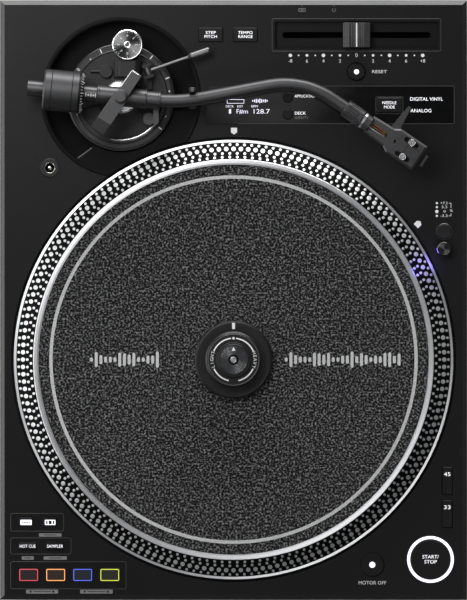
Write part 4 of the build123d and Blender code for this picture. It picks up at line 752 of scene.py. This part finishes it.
# ---- display ----------------------------------------------------------------------------
SCREEN = spot("display_panel")[2]
UPPER, LOWER, NEEDLE = spot("key_display_upper"), spot("key_display_lower"), spot("key_needle_mode")
lettering("display_words", LIT_TEXT, "case", "display_window", SCREEN,
          ("APPLICATION", UPPER[0] + 13.5, UPPER[1] + 0.9, 2.1, 16.6),
          ("DECK", LOWER[0] + 9.3, LOWER[1] + 0.8, 2.2, 8.2),
          ("DIGITAL VINYL", NEEDLE[0] + 28.0, NEEDLE[1] + 4.5, 2.6, 24.7),
          ("ANALOG", NEEDLE[0] + 24.0, NEEDLE[1] - 4.3, 2.6, 15.7))
lettering("display_words_gray", GRAY_INK, "case", "display_window", SCREEN,
          ("/UTILITY", LOWER[0] + 10.4, LOWER[1] - 2.6, 1.9, 10.4))
low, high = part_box("display_panel")
# thin lines along the window's edges and round the needle key, lighter than the window: painted edge
# highlights
window_highlights = Build("display_edge_highlight", EDGE_HIGHLIGHT_GRAY, "case", "display_window")
CORNER_X, CORNER_Y, THIN = high.x / MM, (low.y / MM, high.y / MM), 0.55
for y in CORNER_Y:
    window_highlights.plate(rounded(CORNER_X - 3.0, THIN, 0.2), SCREEN - 0.04, SCREEN + 0.1,
                      (CORNER_X / 2 + 1.5, y - math.copysign(THIN / 2, y - sum(CORNER_Y) / 2)))
window_highlights.plate(rounded(THIN, CORNER_Y[1] - CORNER_Y[0], 0.2), SCREEN - 0.04, SCREEN + 0.1,
                  (CORNER_X - THIN / 2, sum(CORNER_Y) / 2))
window_highlights.frame(rounded(20.9, 13.1, 1.3), rounded(20.0, 12.2, 1.0), SCREEN - 0.04, SCREEN + 0.1, NEEDLE[:2])
window_highlights.done()
digits = Build("display_digits", SCREEN_TEXT, "case", "display_window")
SCREEN_X, SCREEN_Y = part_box("display_panel")[0].x / MM, (LOWER[1] + UPPER[1]) / 2
for text, x, y, height, width in (("1", 18.4, -4.3, 3.4, 1.6), ("F#m", 27.6, -4.3, 3.4, 8.6),
                                  ("128.7", 41.8, -4.3, 3.4, 12.2), ("DECK", 18.2, -0.4, 1.7, 6.0),
                                  ("KEY", 26.0, -0.4, 1.7, 4.4), ("BPM", 37.0, -0.4, 1.7, 5.0)):
    print_text(digits, text, SCREEN_X + x, SCREEN_Y + y, height, SCREEN, width)
digits.frame(rounded(13.0, 3.2, 0.2), rounded(12.3, 2.5, 0.1), SCREEN - 0.04, SCREEN + PRINT,
             (SCREEN_X + 22.6, SCREEN_Y + 3.4))
for k in range(9):
    height = (1.2, 2.0, 2.9, 2.2, 3.4, 2.6, 1.8, 2.4, 1.4)[k]
    print_shape(digits, rounded(0.8, height, 0.1), SCREEN_X + 35.6 + 1.35 * k, SCREEN_Y + 3.8, SCREEN)
digits.done()

# ---- pitch fader cap --------------------------------------------------------------------
low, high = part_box("pitch_slider")
CAP_D, CAP_TOP, CAP_LOW, STEM_LOW = (high.y - low.y) / MM, high.z / MM, DECK - 2.5, low.z / MM
CAP_HALF = (high.x - low.x) / 2 / MM
cap_outline = [(-CAP_HALF, CAP_LOW), (-CAP_HALF, CAP_TOP - 2.4), (-5.4, CAP_TOP), (-4.8, CAP_TOP - 1.2)]
for k in range(5):
    x = -4.3 + 1.85 * k
    cap_outline += [(x, CAP_TOP - 1.3), (x + 0.25, CAP_TOP - 0.4), (x + 1.15, CAP_TOP - 0.4),
                    (x + 1.4, CAP_TOP - 1.3)]
cap_outline += [(5.2, CAP_TOP - 1.2), (5.6, CAP_TOP - 0.1), (CAP_HALF, CAP_TOP - 3.2), (CAP_HALF, CAP_LOW)]
cap = Build("fader_cap", finish("fader_plastic", (0.05, 0.05, 0.051), 0.34, grain=0.3, depth=0.004),
            "pitch_slider", "knob_plastic")
cap.loops([[(FADER[0] + x, FADER[1] + side * CAP_D / 2, z) for x, z in cap_outline] for side in (-1, 1)])
cap.plate(rounded(6, 3.4, 0.4), STEM_LOW, CAP_LOW, FADER[:2])
fader_cap = cap.done(smooth=20, bevel=0.15)
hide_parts("pitch_slider")
line = Build("fader_line", INK, "pitch_slider", "knob_plastic")
line.plate(rounded(1.0, CAP_D - 0.6, 0.2), CAP_TOP - 0.42, CAP_TOP - 0.3, FADER[:2])
line.done()

# ---- centre clamp -----------------------------------------------------------------------
CLAMP_LOW_TOP, DIAL_TOP = MAT_TOP + 7, MAT_TOP + 16.3
DISC_TOP = spot("clamp_knob")[2]
CX, CY = PLATTER.x, PLATTER.y
index = Build("clamp_index", INK, "clamp", "knob_plastic")
print_shape(index, rounded(2.2, 4.7, 0.3), CX, CY + 25.4, CLAMP_LOW_TOP)
index.done()
band = Build("clamp_print", INK, "clamp_knob", "knob_plastic")
for start, sweep in ((97, 60), (23, 60), (205, 52), (283, 52)):
    band.lathe([(15.7, -0.04), (16.7, -0.04), (16.7, PRINT), (15.7, PRINT)], (CX, CY, DIAL_TOP), 30,
               closed=True, sweep=sweep, start=start)
print_shape(band, circle(0.95, 20), CX, CY + 16.2, DIAL_TOP)
for text, side in (("LIGHT", -1), ("HEAVY", 1)):
    for k, letter in enumerate(text):
        angle = math.radians(180 - (k - 2) * 9.5) if side < 0 else math.radians((2 - k) * 9.5)
        print_text(band, letter, CX + 16.2 * math.cos(angle), CY + 16.2 * math.sin(angle), 2.4, DIAL_TOP,
                   turn=math.degrees(angle) - 90)
print_shape(band, [(-1.5, -1.3), (1.5, -1.3), (0, 1.6)], CX, CY + 8.0, DISC_TOP + 0.05)
band.done()
turned_piece("clamp_disc", turned("clamp_disc_metal", (0.34, 0.34, 0.345), 0.14, PLATTER, depth=0.002,
                                  anisotropic=1.0), "clamp_knob", "turned_metal",
             [(3.9, -0.02), (3.9, 0.04), (10.4, 0.04), (10.5, -0.02)], (CX, CY, DISC_TOP))
turned_piece("clamp_lip", KNOB, "clamp_knob", "knob_plastic",
             [(10.6, -0.02), (10.8, 0.3), (11.4, 0.3), (11.8, -0.02)], (CX, CY, DISC_TOP))
# a black ring on the dial: painted shade in its groove
turned_piece("clamp_groove_shade", BLACK_INK_AND_SHADE, "clamp_knob", "knob_plastic",
             [(13.4, -0.02), (13.4, 0.03), (14.0, 0.03), (14.0, -0.02)], (CX, CY, DIAL_TOP))
turned_piece("clamp_edge", finish("clamp_edge_metal", (0.10, 0.10, 0.102), 0.35, metal=0.6, grain=0.3,
                                  depth=0.004), "clamp_knob", "knob_plastic",
             [(18.9, -0.05), (18.9, 0.02), (19.4, 0.08), (21.2, -1.55), (21.0, -1.8)], (CX, CY, DIAL_TOP))

# ---- tonearm base -----------------------------------------------------------------------
PX, PY = PIVOT.x, PIVOT.y
WELL_R, RING_TOP = 60.4, spot("height_ring")[2]
# the well's rim stops where the platter's dish cuts into it
reach = math.hypot(PX - CX, PY - CY)
half = math.degrees(math.acos((reach ** 2 + WELL_R ** 2 - (PLATTER_R + 2.8) ** 2) / (2 * reach * WELL_R)))
towards = math.degrees(math.atan2(CY - PY, CX - PX))
turned_piece("well_rim", WELL, "case", "well_plastic",
             [(57.4, -0.4), (57.8, 0.25), (58.4, 0.45), (59.6, 0.45), (60.3, 0.15), (60.3, -0.4)],
             (PX, PY, DECK), steps=120, sweep=360 - 2 * half, start=towards + half)

marks = Build("height_marks", INK, "height_ring", "ring_metal")
MARK_START, MARK_STEP, MARK_COUNT = -38.4, 15.2, 13
for k in range(MARK_COUNT - 1):
    angle = MARK_START + MARK_STEP * k
    a = math.radians(angle)
    if k % 2 == 0:
        print_shape(marks, rounded(3.2, 0.8, 0.2), PX + 37.9 * math.cos(a), PY + 37.9 * math.sin(a),
                    RING_TOP, angle)
    else:
        print_shape(marks, circle(0.55, 16), PX + 36.8 * math.cos(a), PY + 36.8 * math.sin(a), RING_TOP)
print_text(marks, "0", PX + 38.2 * math.cos(math.radians(147)), PY + 38.2 * math.sin(math.radians(147)), 2.6,
           RING_TOP, turn=57)
marks.done()
# raised lines in a lighter metal than the ring: painted highlights along its edges
ring_edge_highlights = Build("ring_edge_highlights", DARK_METAL_AND_HIGHLIGHT, "height_ring", "ring_metal")
for radius in (35.6, 40.1):
    ring_edge_highlights.lathe([(radius - 0.25, -0.05), (radius, 0.14), (radius + 0.25, -0.05)],
                     (PX, PY, RING_TOP), closed=True)
ring_edge_highlights.done()

BASE_TOP = RING_TOP - 2
# a bright metal arc on only part of the base's edge: a painted highlight
turned_piece("base_edge_highlight", finish("painted_base_highlight", (0.5, 0.5, 0.51), 0.22, metal=1.0, grain=0.3, depth=0.002),
             "arm_base", "base_metal",
             [(31.9, -0.6), (31.9, 0.02), (32.5, 0.14), (33.1, 0.02), (33.1, -0.6)],
             (PX, PY, BASE_TOP), steps=60, sweep=68, start=-104)

# a light metal strip along the ledge's edge: a painted highlight on its bevel
LEDGE_A, LEDGE_B = Vector((-118.2, 107.3)), Vector((-106.9, 115.6))
along_edge = (LEDGE_B - LEDGE_A).normalized()
out = Vector((-along_edge.y, along_edge.x))
ledge = Build("ledge_edge_highlight", DARK_METAL_AND_HIGHLIGHT, "case", "well_plastic")
section = ((0.05, DECK - 0.5), (0.05, DECK + 0.05), (-0.5, DECK + 0.12), (-0.9, DECK - 0.02))
ledge.loops([[(*(end + out * side), z) for side, z in section]
             for end in (LEDGE_A + along_edge * 0.6, LEDGE_B - along_edge * 0.6)])
ledge.done()

SKATE = spot("anti_skate_knob")
skate_rim = Build("anti_skate_rim", CHROME, "anti_skate_knob", "turned_metal")
skate_rim.lathe([(10.5, -0.6), (10.6, 0.02), (10.9, 0.1), (11.3, -0.25), (11.38, -1.6), (11.3, -1.9)],
                SKATE, closed=True)
skate_rim.lathe([(1.5, -0.02), (1.9, 0.12), (2.3, 0.12), (2.6, -0.02)], SKATE, closed=True)
skate_rim.done()
skate = Build("anti_skate_scale", INK, "anti_skate_knob", "turned_metal")
for k in range(29):
    angle = -90 + 360 / 32 * k
    a = math.radians(angle)
    long = 1.5 if k % 4 == 0 else 0.8
    print_shape(skate, rounded(long, 0.28, 0.1), SKATE[0] + (10.2 - long / 2) * math.cos(a),
                SKATE[1] + (10.2 - long / 2) * math.sin(a), SKATE[2], angle)
    if k % 4 == 0:
        print_text(skate, str(k // 4), SKATE[0] + 6.9 * math.cos(a), SKATE[1] + 6.9 * math.sin(a), 2.0,
                   SKATE[2], turn=angle + 90)
skate.done()

turned_piece("strobe_lens", lit("violet_lens", (0.25, 0.18, 1.0), 3.0), "case", "turned_metal",
             [(5.12, -7.6), (5.3, -7.2), (5.3, -3.2), (5.12, -2.8)], STROBE, steps=12, sweep=44, start=176)
lamp_ring = Build("lamp_rings", DARK_METAL_AND_HIGHLIGHT, "case", "turned_metal")
lamp_ring.lathe([(4.1, -0.1), (4.3, 0.0), (4.7, -0.3), (4.9, -0.6), (4.4, -0.6)], STROBE, 48, closed=True)
lamp_ring.lathe([(5.6, -0.05), (5.8, 0.12), (6.1, 0.12), (6.3, -0.05)],
                (*TARGET[:2], DECK + 0.3), 48, closed=True)
lamp_ring.done()

stand = spot("shell_stand")
contact = Build("stand_contacts", NICKEL, "case", "socket_metal")
contact.lathe([(0.001, -5.6), (1.2, -5.8), (1.6, -6.4), (1.6, -9.0), (0.001, -9.0)], stand, 32)
contact.lathe([(4.15, -1.5), (3.6, -1.7), (3.6, -3.0), (4.15, -3.2)], stand, closed=True)
contact.done()

# ---- tonearm ----------------------------------------------------------------------------
ROLL = Matrix.Rotation(math.radians(90), 4, "Y")     # turns a lathe's axis along the arm
YOKE_TOP = 159.0                        # top of the pivot's cap
turned_piece("bearing_disc", turned("bearing_metal", (0.62, 0.62, 0.63), 0.25, PIVOT, anisotropic=0.9),
             "yoke", "turned_metal",
             [(4.0, 115.3), (4.0, 115.5), (11.0, 115.5), (11.6, 115.35), (12.2, 115.5), (12.6, 115.3)],
             (PX, PY, 0))
pivot_cap = Build("pivot_cap", ARM_METAL, "yoke", "arm_metal")
pivot_cap.lathe([(4.35, -0.9), (4.35, -0.2), (3.9, -0.02), (3.5, -0.3), (3.4, -0.9)],
                (PX, PY, YOKE_TOP), closed=True)
pivot_cap.lathe([(5.3, -7.6), (5.3, -6.6), (4.9, -6.2), (4.35, -6.2), (4.35, -7.6)],
                (PX, PY, YOKE_TOP), closed=True)
pivot_cap.done()
cap_face = Build("pivot_cap_face", KNOB, "yoke", "arm_metal")
cap_face.lathe([(0.001, -0.15), (2.9, -0.15), (3.3, -0.4), (3.3, -0.9), (0.001, -0.9)],
               (PX, PY, YOKE_TOP), 40)
cap_face.done()
cap_slot = Build("pivot_cap_slot", DARK_METAL_AND_HIGHLIGHT, "yoke", "arm_metal")
cap_slot.place = YOKE
cap_slot.plate(rounded(5.0, 0.7, 0.2), YOKE_TOP - PIVOT.z - 0.2, YOKE_TOP - PIVOT.z - 0.05)
cap_slot.done()
BAR_TOP = 151.2
# chrome strips along one edge and the end of the yoke's bar: painted highlights
ends = Build("yoke_edge_highlights", CHROME, "yoke", "arm_metal")
ends.place = YOKE
ends.plate(rounded(14.5, 0.5, 0.2), BAR_TOP - PIVOT.z - 0.1, BAR_TOP - PIVOT.z + 0.12, (13.6, 4.0))
ends.plate(rounded(0.9, 6.0, 0.4), BAR_TOP - PIVOT.z - 0.1, BAR_TOP - PIVOT.z + 0.16, (21.2, 0.8))
ends.done()
block_end = Build("yoke_cap", KNOB, "yoke", "arm_metal")
block_end.place = YOKE
block_end.plate(rounded(9.6, 11.5, 0.8), -5.5, BAR_TOP - PIVOT.z + 0.2, (-26.9, 0), chamfer=0.3)
block_end.done(bevel=0.2)

sleeve = Build("rear_sleeve", ARM_METAL, "tonearm", "arm_metal")
sleeve.place = ARM @ ROLL
sleeve.lathe([(7.15, -18.2), (7.55, -17.6), (7.55, -16.6), (7.15, -16.2)], closed=True)
sleeve.lathe([(7.15, 18.4), (7.5, 18.7), (7.5, 19.4), (6.3, 19.9)], closed=True)
sleeve.lathe([(6.35, 28.2), (6.75, 28.5), (6.75, 29.6), (6.35, 29.9), (4.9, 29.9), (4.9, 28.2)], closed=True)
sleeve.done()
balance = Build("balance_scale", INK, "tonearm", "arm_metal")
balance.place = ARM @ ROLL
for low_x, high_x, wide in ((-26.6, -19.2, 4), (-26.7, -26.2, 30), (-24.6, -24.2, 18), (-22.6, -22.2, 30),
                            (-20.9, -20.5, 18), (-19.3, -18.8, 30)):
    balance.lathe([(5.95, low_x), (6.03, low_x), (6.03, high_x), (5.95, high_x)], steps=10, closed=True,
                  sweep=wide, start=190 - wide / 2)
balance.done()
dial = Build("dial_scale", INK, "tracking_dial", "bezel_plastic")
dial.place = ARM @ ROLL
for k in range(40):
    wide, inner = (1.9, 12.95) if k % 4 == 0 else (1.2, 13.7)
    outer = 15.2
    dial.lathe([(outer, -27.93 - (outer - 12.9)), (inner, -27.93 - (inner - 12.9)),
                (inner + 0.1, -27.83 - (inner - 12.9)), (outer + 0.1, -27.83 - (outer - 12.9))],
               steps=3, closed=True, sweep=wide, start=9 * k)
dial.done()
# black rings round the counterweight: painted shade in its grooves
weight_shade = Build("weight_groove_shade", BLACK_INK_AND_SHADE, "counterweight", "weight_metal")
weight_shade.place = ARM @ ROLL
for x in (-52.6, -36.9):
    weight_shade.lathe([(15.02, x - 0.3), (15.06, x - 0.25), (15.06, x + 0.25), (15.02, x + 0.3)], closed=True)
weight_shade.done()

washer = Build("shell_washer", CHROME, "tonearm", "shell_metal")
washer.place = SHELL @ ROLL
washer.lathe([(5.9, 0.3), (6.6, 0.5), (6.6, 2.2), (5.9, 2.4)], closed=True)
washer.done()
LEADS = {"white": (0.7, 0.7, 0.7), "red": (0.5, 0.03, 0.02), "green": (0.03, 0.22, 0.10),
         "copper": (0.45, 0.16, 0.06)}
for k, (tint, colour) in enumerate(LEADS.items()):
    side = -1.35 + 0.9 * k
    lead = Build("lead_" + tint, finish("lead_" + tint, colour, 0.4, grain=0.4, depth=0.01),
                 "tonearm", "shell_metal")
    lead.place = SHELL
    path = []
    for step in range(13):
        t = step / 12
        path.append((4.6 + 16.4 * t, side + 0.5 * math.sin(math.pi * t) * (1 if k % 2 else -1),
                     -1.6 + 1.9 * math.sin(math.pi * t) - 3.2 * t * t))
    lead.tube(path, 0.42, 8)
    lead.done()
heads = Build("screw_rings", CHROME, "tonearm", "turned_metal")
heads.place = SHELL
for side in (-6.35, 6.35):
    heads.lathe([(2.2, 3.0), (2.35, 3.18), (2.62, 3.0), (2.62, 2.2), (2.45, 2.2)],
                (41.0, side, 0), 32, closed=True)
heads.done()
nose = Build("stylus_front", TUBE_METAL, "tonearm", "knob_plastic")
nose.place = SHELL
nose.plate(rounded(1.9, 9.6, 0.5), -7.2, -5.9, (56.1, 0), chamfer=0.15)
nose.done()
# dark outlines round the headshell's middle and its slots: painted shade at the recess edges
shell_shade = Build("shell_recess_shade", BLACK_INK_AND_SHADE, "tonearm", "shell_metal")
shell_shade.place = SHELL
shell_shade.frame(rounded(10.8, 8.2, 0.8), rounded(10.0, 7.4, 0.6), 1.45, 1.66, (44.6, 0))
for side in (-6.35, 6.35):
    shell_shade.frame(rounded(12.8, 3.9, 1.9), rounded(12.0, 3.1, 1.5), 1.45, 1.64, (40.5, side))
shell_shade.done()
front = Build("shell_front", SHELL_METAL, "tonearm", "shell_metal")
front.place = SHELL
front.plate(rounded(1.1, 16.0, 0.4), 1.4, 1.85, (50.4, 0), chamfer=0.1)
front.plate(rounded(1.0, 15.5, 0.4), 1.4, 1.8, (30.8, 0), chamfer=0.1)
front.done()

# ---- feet: grip ridges -------------------------------------------------------------------
low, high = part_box("feet")
FOOT_R = 29.0
ridges = Build("feet_ridges", RUBBER, "case", "rubber")
for side_x in (-1, 1):
    for side_y in (-1, 1):
        centre = (side_x * (high.x / MM - FOOT_R), side_y * (high.y / MM - FOOT_R), 0)
        ridges.lathe([(FOOT_R - 0.3, 3.0)] + [(FOOT_R + 0.35 * (1 - k % 2), 3.6 + 1.2 * k) for k in range(9)]
                     + [(FOOT_R - 0.3, 14.0)], centre, 72, closed=True)
ridges.done(smooth=15)

# ---- rear terminals ---------------------------------------------------------------------
REAR_Y, TERMINAL_Z = CASE_D / 2, POWER[2] - 5.7
REAR = Matrix.Translation((0, REAR_Y, TERMINAL_Z)) @ Matrix.Rotation(math.radians(-90), 4, "X")
JACKS = [(-48.0, "white"), (-34.0, "red"), (-14.0, "white"), (0.0, "red")]
for tint in ("white", "red"):
    collar = Build("jack_collars_" + tint,
                   finish("collar_" + tint, LEADS[tint], 0.45, grain=0.4, depth=0.006),
                   "case", "socket_metal")
    collar.place = REAR
    for x, name in JACKS:
        if name == tint:
            collar.lathe([(4.2, -10.9), (6.0, -10.9), (6.0, -9.6), (5.6, -9.2), (4.2, -9.2)],
                         (x, 0, 0), 40, closed=True)
            collar.lathe([(1.65, -1.95), (2.9, -1.95), (2.9, -2.4), (1.65, -2.4)], (x, 0, 0), 32, closed=True)
    collar.done()
barrels = Build("jack_barrels", NICKEL, "case", "socket_metal")
barrels.place = REAR
for x, name in JACKS:
    barrels.lathe([(4.16, -9.2), (4.35, -9.0), (4.35, -2.6), (4.2, -2.0), (3.0, -1.95), (3.0, -2.4),
                   (4.1, -2.6)], (x, 0, 0), 40, closed=True)
barrels.frame(rounded(11.0, 9.8, 0.8), rounded(9.2, 8.3, 0.5), -1.6, -0.9, (PORT_X, 0))
barrels.lathe([(0.001, -2.9), (2.9, -2.9), (3.3, -3.3), (3.3, -5.0), (0.001, -5.0)], (20.0, 0, 0), 24)
barrels.done()
plate = Build("inlet_frame", BEZEL, "case", "bezel_plastic")
plate.place = REAR
plate.frame(rounded(29.4, 21.4, 1.5), rounded(25.0, 17.0, 2.2), -1.2, -0.4, (112.0, 0))
plate.frame(rounded(89.0, 25.0, 1.0), rounded(86.9, 22.9, 0.8), -1.4, -0.6, (-12.0, 0))
plate.done()

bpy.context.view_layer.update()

floor = bpy.data.objects.new("floor", bpy.data.meshes.new("floor"))
bm = bmesh.new()
bmesh.ops.create_grid(bm, x_segments=1, y_segments=1, size=4.0)
bm.to_mesh(floor.data)
bm.free()
bpy.context.scene.collection.objects.link(floor)
floor.data.materials.append(finish("floor_pale", (0.62, 0.62, 0.61), 0.7, grain=20, depth=0.02, vary=0.03))
